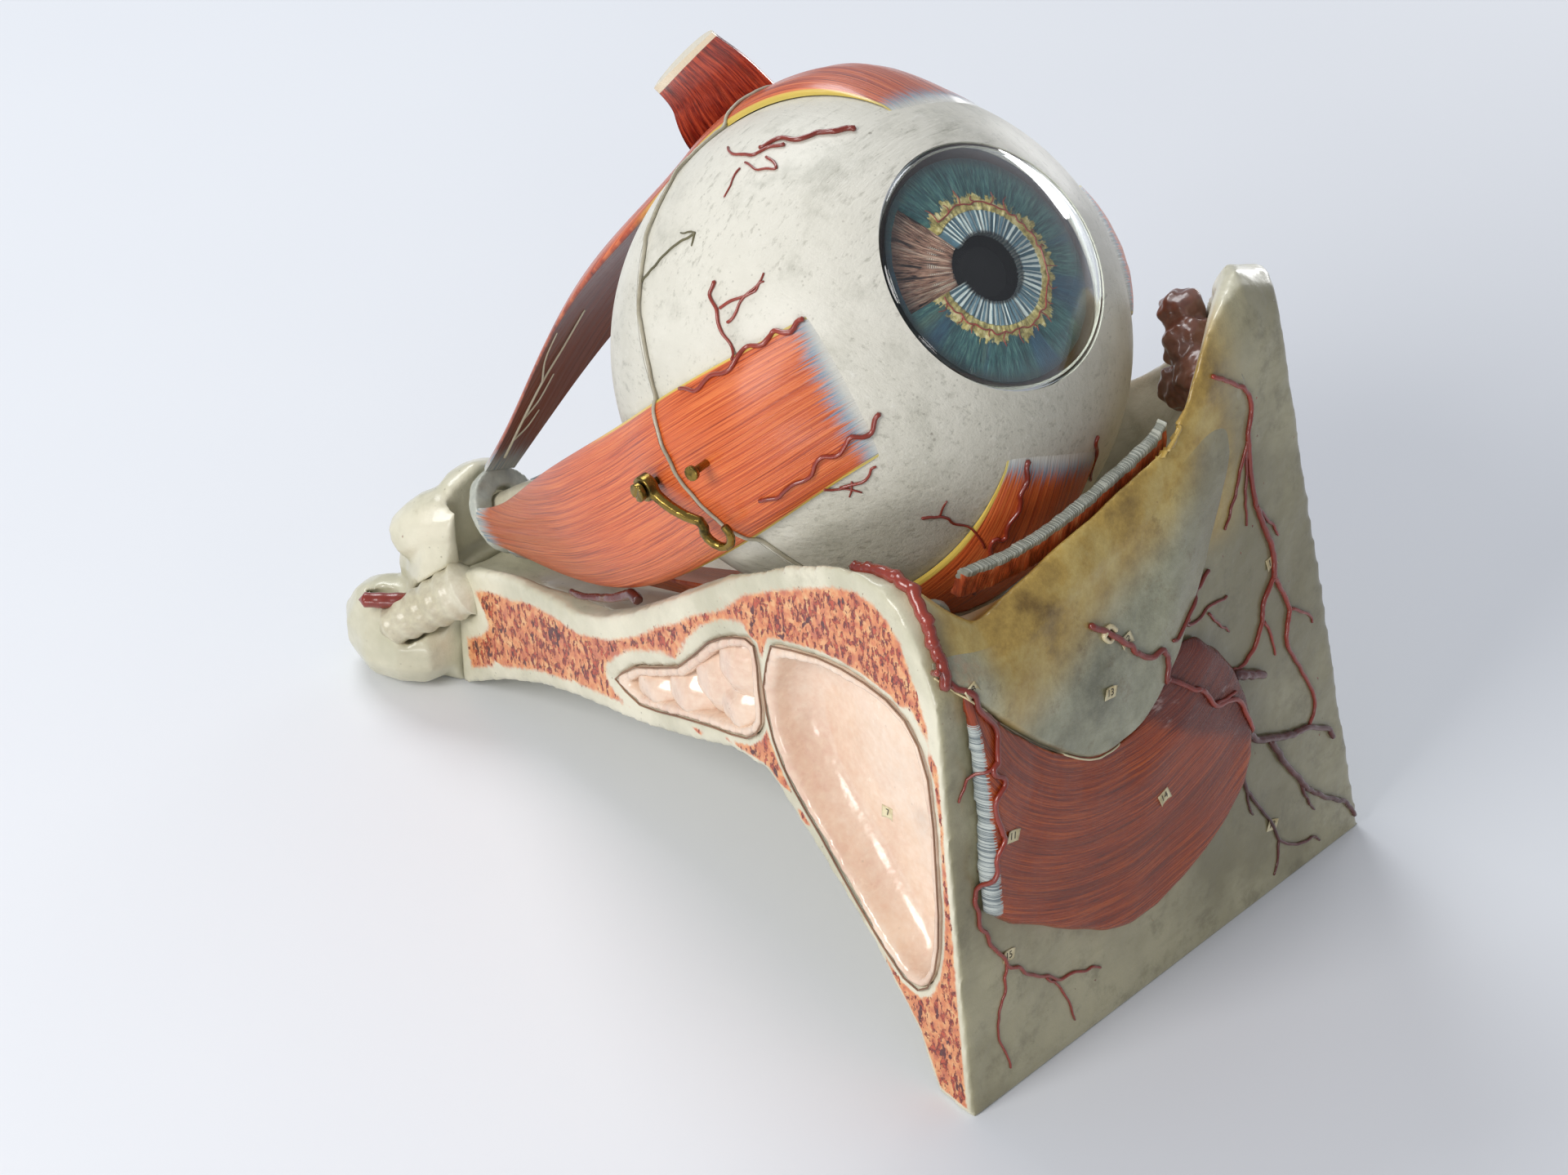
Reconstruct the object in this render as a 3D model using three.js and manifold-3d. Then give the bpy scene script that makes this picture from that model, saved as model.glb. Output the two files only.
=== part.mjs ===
// Enlarged dissectible model of the eye in its orbit, in painted papier-mache, glass and brass.
// The eyeball lies on a cut piece of frontal bone that stands upside down, forehead to the front.
// Millimetres and degrees. +Z up, the forehead faces -Y, and the cut midline face looks to -X.
// Until the last lines the eyeball's centre stands over x = 0, y = 0, and the table is z = 0.
import * as THREE from "three";
import { mergeVertices } from "three/addons/utils/BufferGeometryUtils.js";
import Module from "manifold-3d";

const wasm = await Module();
wasm.setup();

// Driving sizes: the eyeball
const FIT_GAP = 0.3; // clearance between pieces that touch
const GLOBE_R = 65;
const GLOBE_HEIGHT = 140; // eyeball centre above the table
const GAZE_ELEVATION = 45;
const GAZE_YAW = -3;
const DRAW_ELEVATION = 66; // the front half is drawn off steeper than the gaze, clear of the brow
const DRAW_YAW = -25;

const SCLERA_WALL = 4;
const CHOROID_WALL = 2;
const RETINA_WALL = 1.4;
const RETINA_EDGE = 105; // angle from the gaze where the retina ends
const LIP_HEIGHT = 2.2; // lip of the rear half inside the front half
const LIP_RELIEF = 3; // the lip tapers by this more than the front half is drawn off the gaze
const WINDOW_ANGLE = 29; // half angle of the opening for the cornea
const CORNEA_WALL = 2;
const CORNEA_RISE = 12.5; // dome height over the plane of the opening
const IRIS_SETBACK = 4.5; // iris rim behind the plane of the opening
const IRIS_THICKNESS = 1.6;
const IRIS_DOME = 2;
const PUPIL_R = 8.6;
const IRIS_CUT_AZIMUTH = 196; // middle of the window cut in the iris
const IRIS_CUT_ANGLE = 50;
const IRIS_CUT_INNER_R = 12.5;
const CILIARY_INNER_R = 26;
const CILIARY_DEPTH = 5;
const CILIARY_FOLDS = 24;
const CILIARY_FOLD_HEIGHT = 1.2;
const LENS_R = GLOBE_R * 0.292;
const LENS_FRONT = 7;
const LENS_BACK = 9;
const LENS_TO_IRIS = 1.2;
const VITREOUS_SETBACK = 8; // its radius is this much smaller than the retina's
const VITREOUS_STRETCH = 1.18; // its front half is longer than a ball's
const VITREOUS_WALL = 2.5;
const VITREOUS_MOUTH_R = 9;

// Driving sizes: the muscles, the nerve and the clasp
const RECTUS_WIDTH = 37;
const RECTUS_THICKNESS = 5;
const RECTUS_INSERTION = 45; // angle from the gaze where the tendons end
const TENDON_THICKNESS = 1;
const RECTUS_TIP_WIDTH = 11;
const RECTUS_TIP_THICKNESS = 3;
const TIP_CIRCLE_R = 9; // circle of muscle origins round the optic nerve
const TENDON_RING_R = 12.5;
const TENDON_RING_THICKNESS = 4;
const NERVE_R = 9;
const NERVE_TIP_R = 5.5;
const APEX = new THREE.Vector3(-27, 112, 52); // where the muscles meet
const OBLIQUE_WIDTH = 30;
const OBLIQUE_THICKNESS = 7;
const PEG_R = 2.5;
const PEG_DEPTH = 8; // length of the support peg inside the bone
const HOOK_REACH = 17; // angle at the eyeball's centre from the hook's screw to its pin
const HOOK_WIRE_R = 1.4;
const HOOK_LOOP_R = 4.2;
const HOOK_OPEN_ANGLE = 50; // the hook hangs this far short of its pin
const HOOK_EYE_R = 3.4;
const SCREW_R = 1;
const SCREW_HEAD_R = 2.4;
const SCREW_DEPTH = 2.5;

// Driving sizes: the bone and what covers it
const FOREHEAD_X = -78; // left end of the forehead's foot
const FOREHEAD_Y = -106.5;
const FOREHEAD_WIDTH = 158;
const FOREHEAD_LEAN = 8.8;
const FOREHEAD_ROUNDING = 1.2; // the rim lies at least this far behind the forehead's flat
const BASE_LENGTH = 224; // forehead foot to the back, along the cut midline face
const SECTION_YAW = 9.1; // the midline cut runs inwards towards the back
const RIM_HEIGHT = 136; // orbital rim over the table at the midline side
const RIM_NOTCH = 13; // depth of the dip in the rim beside its inner corner
const BROW_RISE = 18; // rise of the brow's edge from that dip to the foot of the outer corner
const PILLAR_RISE = 28; // rise of the outer corner from there
const FOOT_THICKNESS = 13.5;
const ARCH_HEIGHT = 57; // hollow for the front of the brain, under the orbit
const SIDE_LEAN = 0.2; // the outer corner leans in by this much of its height
const BACK_X = 18; // outer edge of the back end
const ORBIT_SIDE_GAP = 5.5; // orbit wall from the eyeball: beside, before and below it
const ORBIT_X = 2.5; // the orbit lies that much further out than the eyeball
const ORBIT_FRONT_GAP = 17;
const ORBIT_FLOOR_GAP = 9;
const ORBIT_SQUARE = 3.2; // squareness of the orbit's rim, where 2 is an ellipse
const SINUS_DEPTH = 14;
const SINUS_TAPER = 0.28; // share by which the sinus narrows towards its bottom
const SINUS_LINING = 2;
const FLAP_THICKNESS = 5;
const BROW_MUSCLE_THICKNESS = 4.5;
const LID_THICKNESS = 3.2;
const LID_WIDTH = 9;
const LID_STANDS_OUT = 2; // over the brow's edge
const ARTERY_R = 2.6;
const SMALL_ARTERY_R = 1.1;

// Helpers
const deg = THREE.MathUtils.radToDeg;
const rad = THREE.MathUtils.degToRad;
const sin = (angle) => Math.sin(rad(angle));
const cos = (angle) => Math.cos(rad(angle));
const lerp = THREE.MathUtils.lerp;
const smooth = (x) => THREE.MathUtils.smoothstep(x, 0, 1);
const v3 = (x, y, z) => new THREE.Vector3(x, y, z);
const v2 = (x, y) => new THREE.Vector2(x, y);
const UP = v3(0, 0, 1);

function paint(color, roughness, metalness = 0) {
  return new THREE.MeshStandardMaterial({ color, roughness, metalness });
}

const PAINT = {
  bone: paint(0xd9d3b4, 0.45),
  sinus: paint(0xe3bfa6, 0.35),
  skin: paint(0x8c8348, 0.4),
  darkMuscle: paint(0x6b2410, 0.3),
  muscle: paint(0xc2501f, 0.45),
  tendon: paint(0xd6d8cc, 0.45),
  sclera: paint(0xd9d6c8, 0.4),
  choroid: paint(0x3b2018, 0.6),
  retina: paint(0xc9824a, 0.5),
  iris: paint(0x2f5560, 0.5),
  ciliary: paint(0x7a5238, 0.5),
  glass: paint(0xeef3f2, 0.05),
  lens: paint(0xe8d9a8, 0.08),
  artery: paint(0x9c2f1c, 0.35),
  nerve: paint(0xd8d4c2, 0.5),
  gland: paint(0x8a5a4c, 0.4),
  brass: paint(0x7d6a2a, 0.35, 0.9),
};

// A closed solid from a three.js geometry, with its faces turned outwards.
function solid(geometry) {
  const bare = geometry.index ? geometry.toNonIndexed() : geometry.clone();
  bare.deleteAttribute("normal");
  bare.deleteAttribute("uv");
  const merged = mergeVertices(bare, 1e-4);
  const vertProperties = new Float32Array(merged.attributes.position.array);
  const triVerts = new Uint32Array(merged.index.array).filter((_, i, all) => {
    const first = i - (i % 3);
    const [a, b, c] = all.slice(first, first + 3);
    return a !== b && b !== c && c !== a;
  });
  const made = new wasm.Manifold(new wasm.Mesh({ numProp: 3, vertProperties, triVerts }));
  if (made.volume() > 0) return made;
  for (let i = 0; i < triVerts.length; i += 3) {
    [triVerts[i], triVerts[i + 1]] = [triVerts[i + 1], triVerts[i]];
  }
  return new wasm.Manifold(new wasm.Mesh({ numProp: 3, vertProperties, triVerts }));
}

// A named mesh from a solid.
function piece(name, body, material) {
  const mesh = body.getMesh();
  const points = new Float32Array(mesh.numVert * 3);
  for (let i = 0; i < mesh.numVert; i++) {
    const start = i * mesh.numProp;
    points.set(mesh.vertProperties.subarray(start, start + 3), i * 3);
  }
  const geometry = new THREE.BufferGeometry();
  geometry.setAttribute("position", new THREE.BufferAttribute(points, 3));
  geometry.setIndex(new THREE.BufferAttribute(new Uint32Array(mesh.triVerts), 1));
  geometry.computeVertexNormals();
  const made = new THREE.Mesh(geometry, material);
  made.name = name;
  return made;
}

// The largest body of a cut solid, without the slivers that a cut can leave.
function mainBody(body) {
  return body.decompose().reduce((a, b) => (b.volume() > a.volume() ? b : a));
}

const joined = (parts) => parts.reduce((a, b) => a.add(b));
const evenShares = (steps) => Array.from({ length: steps + 1 }, (_, i) => i / steps);

// A closed surface through rings of equal, even point count, with rungs across both ends.
function loft(rings) {
  const count = rings[0].length;
  const points = rings.flat();
  const index = [];
  for (let r = 0; r + 1 < rings.length; r++) {
    for (let i = 0; i < count; i++) {
      const a = r * count + i;
      const b = r * count + ((i + 1) % count);
      index.push(a, b, b + count, a, b + count, a + count);
    }
  }
  for (const [start, isLast] of [[0, false], [(rings.length - 1) * count, true]]) {
    for (let i = 0; i + 1 < count / 2; i++) {
      const [a, b, c, d] = [i, i + 1, count - 2 - i, count - 1 - i].map((k) => start + k);
      index.push(...(isLast ? [a, b, c, a, c, d] : [c, b, a, d, c, a]));
    }
  }
  const geometry = new THREE.BufferGeometry().setFromPoints(points);
  geometry.setIndex(index);
  return solid(geometry);
}

// The same with flat, possibly hollow outlines at both ends: flat gives a point's place in its end plane.
function loftOutlines(rings, flat) {
  const count = rings[0].length;
  const points = rings.flat();
  const index = [];
  for (let r = 0; r + 1 < rings.length; r++) {
    for (let i = 0; i < count; i++) {
      const a = r * count + i;
      const b = r * count + ((i + 1) % count);
      index.push(a, b, b + count, a, b + count, a + count);
    }
  }
  for (const [start, isLast] of [[0, false], [(rings.length - 1) * count, true]]) {
    const outline = points.slice(start, start + count).map(flat);
    const faces = THREE.ShapeUtils.triangulateShape(outline, []);
    const forwards = THREE.ShapeUtils.area(outline) > 0;
    for (const [a, b, c] of faces) {
      const runs = THREE.ShapeUtils.area([outline[a], outline[b], outline[c]]) > 0 === forwards;
      const face = runs === isLast ? [a, b, c] : [c, b, a];
      index.push(...face.map((i) => start + i));
    }
  }
  const geometry = new THREE.BufferGeometry().setFromPoints(points);
  geometry.setIndex(index);
  return solid(geometry);
}

// A round tube through points whose radius follows radiusAt(share), capped at both ends.
function tube(points, radiusAt, steps, sides = 8) {
  const curve = new THREE.CatmullRomCurve3(points);
  let out = Math.abs(curve.getTangentAt(0).z) < 0.9 ? UP : v3(1, 0, 0);
  const rings = evenShares(steps).map((share) => {
    const at = curve.getPointAt(share);
    const along = curve.getTangentAt(share);
    out = out.clone().addScaledVector(along, -out.dot(along)).normalize();
    const side = along.clone().cross(out);
    return Array.from({ length: sides }, (_, k) => {
      const turn = (k / sides) * 2 * Math.PI;
      const r = radiusAt(share);
      return at.clone().addScaledVector(out, r * Math.cos(turn)).addScaledVector(side, r * Math.sin(turn));
    });
  });
  return loft(rings);
}

// A revolved solid round local Z from (radius, height) points, closed on itself or on the axis.
function turned(profile, segments = 26) {
  const onAxis = profile[0].x === 0 && profile.at(-1).x === 0;
  const points = onAxis ? profile : [...profile, profile[0]];
  return solid(new THREE.LatheGeometry(points, segments).rotateX(Math.PI / 2));
}

const MERIDIAN_STEP = 15;

// Points of an arc round the origin, as (radius, height), between two angles from the pole.
function meridian(r, from, to) {
  const turn = Math.sign(to - from);
  const angles = [from];
  const first = Math.floor(from / MERIDIAN_STEP) * MERIDIAN_STEP;
  for (let k = first; turn * (to - k) > 0.5; k += turn * MERIDIAN_STEP) {
    if (turn * (k - from) > 0.5) angles.push(k);
  }
  angles.push(to);
  return angles.map((a) => v2(a === 180 || a === 0 ? 0 : r * Math.sin(rad(a)), r * Math.cos(rad(a))));
}

const poleAngle = (r, height) => deg(Math.acos(height / r));

// Direction from the eyeball's centre by angle from the gaze and azimuth round it, in the eyeball's frame.
const gazeDirection = (angle, azimuth) => v3(sin(angle) * cos(azimuth), sin(angle) * sin(azimuth), cos(angle));

function block(low, high) {
  const size = high.clone().sub(low);
  const middle = low.clone().add(high).multiplyScalar(0.5);
  return solid(new THREE.BoxGeometry(size.x, size.y, size.z).translate(middle.x, middle.y, middle.z));
}

function ball(at, rx, ry, rz, steps = 12) {
  const sphere = new THREE.SphereGeometry(1, steps, Math.round(steps * 0.65)).rotateX(Math.PI / 2);
  return solid(sphere.scale(rx, ry, rz).translate(at.x, at.y, at.z));
}

// A round pin from one point towards another.
function pin(from, to, r, sides = 12) {
  const axis = to.clone().sub(from);
  const cylinder = new THREE.CylinderGeometry(r, r, axis.length(), sides);
  cylinder.applyQuaternion(new THREE.Quaternion().setFromUnitVectors(v3(0, 1, 0), axis.clone().normalize()));
  const middle = from.clone().addScaledVector(axis, 0.5);
  return solid(cylinder.translate(middle.x, middle.y, middle.z));
}

// The eyeball's group, and its centre and apex in its own frame.
const globe = new THREE.Group();
globe.position.set(0, 0, GLOBE_HEIGHT);
globe.rotation.set(rad(GAZE_ELEVATION), 0, rad(GAZE_YAW), "ZYX");
globe.updateMatrixWorld();
const apexLocal = globe.worldToLocal(APEX.clone());
const apexDirection = apexLocal.clone().normalize();
const APEX_SLOPE = APEX.clone().sub(globe.position).normalize().y;
const inGlobe = (x, y, z) => globe.worldToLocal(v3(x, y, z));

const FAR = 400;
const FRONT_SIDE = block(v3(-FAR, -FAR, FIT_GAP / 2), v3(FAR, FAR, FAR));
const REAR_SIDE = block(v3(-FAR, -FAR, -FAR), v3(FAR, FAR, -FIT_GAP / 2));

// Shell radii, each seated in the last with the fit clearance
const SCLERA_IN = GLOBE_R - SCLERA_WALL;
const CHOROID_OUT = SCLERA_IN - FIT_GAP;
const CHOROID_IN = CHOROID_OUT - CHOROID_WALL;
const RETINA_OUT = CHOROID_IN - FIT_GAP;
const RETINA_IN = RETINA_OUT - RETINA_WALL;
const LIP_R = GLOBE_R - SCLERA_WALL / 2;
const wayOut = (elevation, yaw) => {
  const flat = Math.cos(rad(elevation));
  return v3(flat * Math.sin(rad(yaw)), -flat * Math.cos(rad(yaw)), Math.sin(rad(elevation)));
};
const drawOffGaze = wayOut(DRAW_ELEVATION, DRAW_YAW).angleTo(wayOut(GAZE_ELEVATION, GAZE_YAW));
const LIP_TOP_R = LIP_R - LIP_HEIGHT * Math.tan(drawOffGaze + rad(LIP_RELIEF));
const WINDOW_R = GLOBE_R * Math.sin(rad(WINDOW_ANGLE));
const WINDOW_PLANE = GLOBE_R * Math.cos(rad(WINDOW_ANGLE));
const IRIS_PLANE = WINDOW_PLANE - IRIS_SETBACK;
const IRIS_R = Math.sqrt(SCLERA_IN ** 2 - (IRIS_PLANE + IRIS_THICKNESS) ** 2) - 2 * FIT_GAP;
const VITREOUS_R = RETINA_IN - VITREOUS_SETBACK;
const VITREOUS_Z = -(VITREOUS_SETBACK - FIT_GAP);
const LENS_Z = IRIS_PLANE + IRIS_DOME * 0.8 - LENS_TO_IRIS - LENS_FRONT;

function scleraFront() {
  return turned([
    ...meridian(GLOBE_R, WINDOW_ANGLE, poleAngle(GLOBE_R, FIT_GAP / 2)),
    v2(LIP_R + FIT_GAP, FIT_GAP / 2),
    v2(LIP_TOP_R + FIT_GAP, LIP_HEIGHT + FIT_GAP),
    ...meridian(SCLERA_IN, poleAngle(SCLERA_IN, LIP_HEIGHT + FIT_GAP), deg(Math.asin(WINDOW_R / SCLERA_IN))),
  ]);
}

function scleraRear() {
  const shell = turned([
    ...meridian(GLOBE_R, 180, poleAngle(GLOBE_R, -FIT_GAP / 2)),
    v2(LIP_R, -FIT_GAP / 2),
    v2(LIP_TOP_R, LIP_HEIGHT),
    ...meridian(SCLERA_IN, poleAngle(SCLERA_IN, LIP_HEIGHT), 180),
  ]);
  const from = apexDirection.clone().multiplyScalar(CHOROID_OUT);
  return shell.subtract(pin(from, apexLocal, NERVE_R + FIT_GAP, 20));
}

function choroidFront() {
  const edge = poleAngle(CHOROID_OUT, IRIS_PLANE - FIT_GAP);
  const start = LIP_HEIGHT + FIT_GAP;
  return turned([
    ...meridian(CHOROID_OUT, edge, poleAngle(CHOROID_OUT, start)),
    ...meridian(CHOROID_IN, poleAngle(CHOROID_IN, start), poleAngle(CHOROID_IN, IRIS_PLANE - FIT_GAP)),
  ]);
}

function choroidRear() {
  return turned([
    ...meridian(CHOROID_OUT, 180, poleAngle(CHOROID_OUT, LIP_HEIGHT)),
    ...meridian(CHOROID_IN, poleAngle(CHOROID_IN, LIP_HEIGHT), 180),
  ]);
}

function retina() {
  return turned([
    ...meridian(RETINA_OUT, 180, RETINA_EDGE),
    ...meridian(RETINA_IN, RETINA_EDGE, 180),
  ]);
}

// Glass dome that bulges over the sphere of the white, with its rim inside the opening.
function cornea() {
  const rimR = WINDOW_R - FIT_GAP;
  const domeR = (rimR ** 2 + CORNEA_RISE ** 2) / (2 * CORNEA_RISE);
  const centre = WINDOW_PLANE + CORNEA_RISE - domeR;
  const rimAngle = deg(Math.asin(rimR / domeR));
  const innerR = domeR - CORNEA_WALL;
  const lift = (p) => v2(p.x, p.y + centre);
  const innerRim = rimR - CORNEA_WALL * 0.8;
  return turned([
    ...meridian(domeR, 0, rimAngle).map(lift),
    v2(rimR, WINDOW_PLANE - CORNEA_WALL),
    v2(innerRim, WINDOW_PLANE - CORNEA_WALL),
    ...meridian(innerR, deg(Math.asin(innerRim / innerR)), 0).map(lift),
  ]);
}

// Domed disc with the pupil, and a window cut at one side through which the ciliary folds show.
function iris() {
  const shares = evenShares(3).map((k) => lerp(PUPIL_R, IRIS_R, k));
  const front = (r) => IRIS_PLANE + IRIS_THICKNESS + IRIS_DOME * (1 - (r / IRIS_R) ** 2);
  const disc = turned(
    [
      ...shares.map((r) => v2(r, front(r))),
      ...shares.reverse().map((r) => v2(r, front(r) - IRIS_THICKNESS)),
    ],
    32,
  );
  const edge = IRIS_R - 1.5;
  const from = rad(IRIS_CUT_AZIMUTH - IRIS_CUT_ANGLE / 2);
  const to = rad(IRIS_CUT_AZIMUTH + IRIS_CUT_ANGLE / 2);
  const outline = new THREE.Shape();
  outline.absarc(0, 0, edge, from, to, false);
  outline.absarc(0, 0, IRIS_CUT_INNER_R, to, from, true);
  const cutter = new THREE.ExtrudeGeometry(outline, { depth: 20, bevelEnabled: false, curveSegments: 8 });
  return disc.subtract(solid(cutter.translate(0, 0, IRIS_PLANE - 10)));
}

// Ring of radial folds behind the iris, seated inside the choroid.
function ciliaryRing() {
  const top = IRIS_PLANE - FIT_GAP;
  const outerTop = Math.sqrt(CHOROID_IN ** 2 - top ** 2) - FIT_GAP;
  const outerLow = outerTop + 2;
  const segments = CILIARY_FOLDS * 2;
  const ring = (r, height, fold) =>
    Array.from({ length: segments }, (_, i) => {
      const turn = (i / segments) * 2 * Math.PI;
      return v3(r * Math.cos(turn), r * Math.sin(turn), height - (i % 2) * fold);
    });
  const rings = [
    ring(outerTop, top, 0),
    ring(CILIARY_INNER_R + 2, top, CILIARY_FOLD_HEIGHT),
    ring(CILIARY_INNER_R, top - CILIARY_DEPTH * 0.5, CILIARY_FOLD_HEIGHT),
    ring(outerLow, top - CILIARY_DEPTH, 0),
  ];
  const index = [];
  rings.forEach((_, r) => {
    for (let i = 0; i < segments; i++) {
      const next = (i + 1) % segments;
      const a = r * segments;
      const b = ((r + 1) % rings.length) * segments;
      index.push(a + i, a + next, b + next, a + i, b + next, b + i);
    }
  });
  const geometry = new THREE.BufferGeometry().setFromPoints(rings.flat());
  geometry.setIndex(index);
  return solid(geometry);
}

const lensBack = (r) => LENS_Z - LENS_BACK * (1 - (r / LENS_R) ** 2);

function lens() {
  const radii = evenShares(3).map((k) => LENS_R * k);
  return turned([
    ...radii.map((r) => v2(r, LENS_Z + 0.4 + LENS_FRONT * (1 - (r / LENS_R) ** 2))),
    ...radii.reverse().map((r) => v2(r, lensBack(r) - 0.4)),
  ]);
}

// Hollow glass ball with a dish in front for the lens, and a mouth under the lens.
function vitreous() {
  const rimZ = LENS_Z - 2;
  const seat = (r) => Math.min(lensBack(r) - 0.4 - FIT_GAP, rimZ);
  const outer = meridian(VITREOUS_R, 180, poleAngle(VITREOUS_R, (rimZ - VITREOUS_Z) / VITREOUS_STRETCH));
  const innerR = VITREOUS_R - VITREOUS_WALL;
  const innerTop = (rimZ - VITREOUS_WALL - VITREOUS_Z) / VITREOUS_STRETCH;
  const inner = meridian(innerR, poleAngle(innerR, innerTop), 180);
  const down = (p) => v2(p.x, (p.y > 0 ? p.y * VITREOUS_STRETCH : p.y) + VITREOUS_Z);
  const dish = [LENS_R, LENS_R * 0.8, LENS_R * 0.6, VITREOUS_MOUTH_R];
  return turned([
    ...outer.map(down),
    ...dish.map((r) => v2(r, seat(r))),
    ...dish.reverse().map((r) => v2(r, seat(r) - VITREOUS_WALL)),
    ...inner.map(down),
  ], 18);
}

// The straps. Each runs over the ball in a great circle, leaves it at a tangent and goes to the apex.
const STRAP_COLUMNS = 5;

function strapRing(at, out, side, halfWidth, thickness, bend, hang = 0) {
  const turnAt = (across) => Math.asin(across / bend);
  const outAt = (across) => {
    const turn = turnAt(across);
    return out.clone().multiplyScalar(Math.cos(turn)).addScaledVector(side, Math.sin(turn));
  };
  const acrossAll = evenShares(STRAP_COLUMNS).map((k) => halfWidth * (2 * k - 1) + hang);
  const middle = at.clone().addScaledVector(out, -bend);
  const inner = acrossAll.map((across) => middle.clone().addScaledVector(outAt(across), bend));
  const outer = inner.map((p, i) => {
    const u = (acrossAll[i] - hang) / halfWidth;
    return p.clone().addScaledVector(outAt(acrossAll[i]), thickness * Math.sqrt(1.06 - u ** 2));
  });
  return [...inner, ...outer.reverse()];
}

// Each strap bows out, hangs to one side by its sag and thickens at its belly; a high late narrows it late.
const RECTI = [
  { name: "medial_rectus", azimuth: 191, bow: 3, sag: 9, belly: 1.35, width: 1.08, late: 3 },
  { name: "inferior_rectus", azimuth: 63, bow: 5, sag: 2, belly: 1.3, width: 1, late: 2 },
  { name: "lateral_rectus", azimuth: 350, bow: 1, sag: 0, belly: 1.2, width: 1, late: 1.3 },
  { name: "superior_rectus", azimuth: 270, bow: 0, sag: 0, belly: 1, width: 1, late: 1.3 },
];

function rectus({ azimuth, bow, sag, belly, width, late }) {
  const seatR = GLOBE_R + FIT_GAP;
  const start = gazeDirection(RECTUS_INSERTION, azimuth);
  const radial = start.clone().addScaledVector(apexDirection, -start.dot(apexDirection)).normalize();
  const tip = apexLocal.clone().addScaledVector(radial, TIP_CIRCLE_R);
  const across = tip.clone().addScaledVector(start, -tip.dot(start)).normalize();
  const side = start.clone().cross(across);
  const onArc = (angle) =>
    start.clone().multiplyScalar(Math.cos(angle)).addScaledVector(across, Math.sin(angle));
  const leave = start.angleTo(tip) - Math.acos(seatR / tip.length());
  const arcLength = leave * seatR;
  const leavePoint = onArc(leave).multiplyScalar(seatR);
  const straight = tip.clone().sub(leavePoint);
  const total = arcLength + straight.length();
  const arcSteps = 9;
  const straightSteps = 8;
  const seamShare = ((90 - RECTUS_INSERTION) * seatR * Math.PI) / 180 / total;
  const ringAt = (share) => {
    const travelled = share * total;
    const u = (travelled - arcLength) / straight.length();
    const out = u > 0 ? onArc(leave) : onArc(travelled / seatR);
    const at = u > 0 ? leavePoint.clone().addScaledVector(straight, u) : out.clone().multiplyScalar(seatR);
    if (u > 0) at.addScaledVector(out, bow * Math.sin(Math.PI * u) ** 2 * (1 - u * 0.3));
    const hang = sag * Math.sin(Math.PI * share ** 1.4);
    const swell = smooth(share / seamShare);
    const taper = smooth((share - seamShare) / (1 - seamShare));
    const fullWidth = RECTUS_WIDTH * width;
    const wide = share < seamShare
      ? lerp(fullWidth * 0.92, fullWidth, swell)
      : lerp(fullWidth, RECTUS_TIP_WIDTH, taper ** late);
    const full = RECTUS_THICKNESS * (1 + (belly - 1) * Math.sin(Math.PI * Math.min(taper * 1.4, 1)));
    const thick = share < seamShare
      ? lerp(TENDON_THICKNESS, RECTUS_THICKNESS, smooth((share / seamShare) * 1.5))
      : lerp(full, RECTUS_TIP_THICKNESS, taper ** 2);
    return strapRing(at, out, side, wide / 2, thick, at.length(), hang);
  };
  const arcShare = arcLength / total;
  const shares = [
    ...evenShares(arcSteps).map((k) => k * arcShare),
    ...evenShares(straightSteps).slice(1).map((k) => lerp(arcShare, 1, k)),
  ];
  const ringFace = apexLocal.clone().addScaledVector(apexDirection, -TENDON_RING_THICKNESS - 2 * FIT_GAP);
  const beyond = pin(ringFace, ringFace.clone().addScaledVector(apexDirection, 40), 40, 24);
  const strap = loft(shares.map(ringAt)).subtract(beyond);
  return { front: strap.intersect(FRONT_SIDE), rear: strap.intersect(REAR_SIDE) };
}

// Cut end of the inferior oblique, which crosses over the inferior rectus and stands up from it.
function inferiorOblique() {
  const overRectus = GLOBE_R + RECTUS_THICKNESS + 3 * FIT_GAP;
  const centre = v3(0, 0, GLOBE_HEIGHT);
  const outOf = (x, y, z, r) => v3(x, y, z).normalize().multiplyScalar(r).add(centre);
  const path = [
    outOf(0.62, 0.78, 0.02, GLOBE_R + 4),
    outOf(0.5, 0.84, 0.18, GLOBE_R + 5),
    outOf(0.36, 0.87, 0.34, overRectus + 2.5),
    outOf(0.25, 0.86, 0.44, GLOBE_R + 11),
    outOf(0.18, 0.84, 0.51, GLOBE_R + 18),
    outOf(0.12, 0.83, 0.54, GLOBE_R + 26),
  ];
  const rise = v3(0.62, -0.65, 0.53);
  const sides = [v3(0.1, 0.25, 1), v3(0.2, -0.1, 0.95), v3(0.5, -0.4, 0.75), rise, rise, rise];
  const curve = new THREE.CatmullRomCurve3(path);
  const sideCurve = new THREE.CatmullRomCurve3(sides);
  const rings = evenShares(14).map((share) => {
    const at = curve.getPoint(share);
    const along = curve.getTangent(share);
    const side = sideCurve.getPoint(share);
    side.addScaledVector(along, -side.dot(along)).normalize();
    const out = side.clone().cross(along).negate();
    const away = at.clone().sub(centre);
    if (out.dot(away) < 0) out.negate();
    const thick = lerp(1.5, OBLIQUE_THICKNESS, smooth(share * 2));
    const narrowing = 1 - 0.28 * smooth(share * 2 - 1);
    const wide = lerp(OBLIQUE_WIDTH * 0.6, OBLIQUE_WIDTH, smooth(share * 1.6)) * narrowing;
    return strapRing(at, out, side, wide / 2, thick, 70).map((p) => globe.worldToLocal(p));
  });
  return loft(rings);
}

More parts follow.
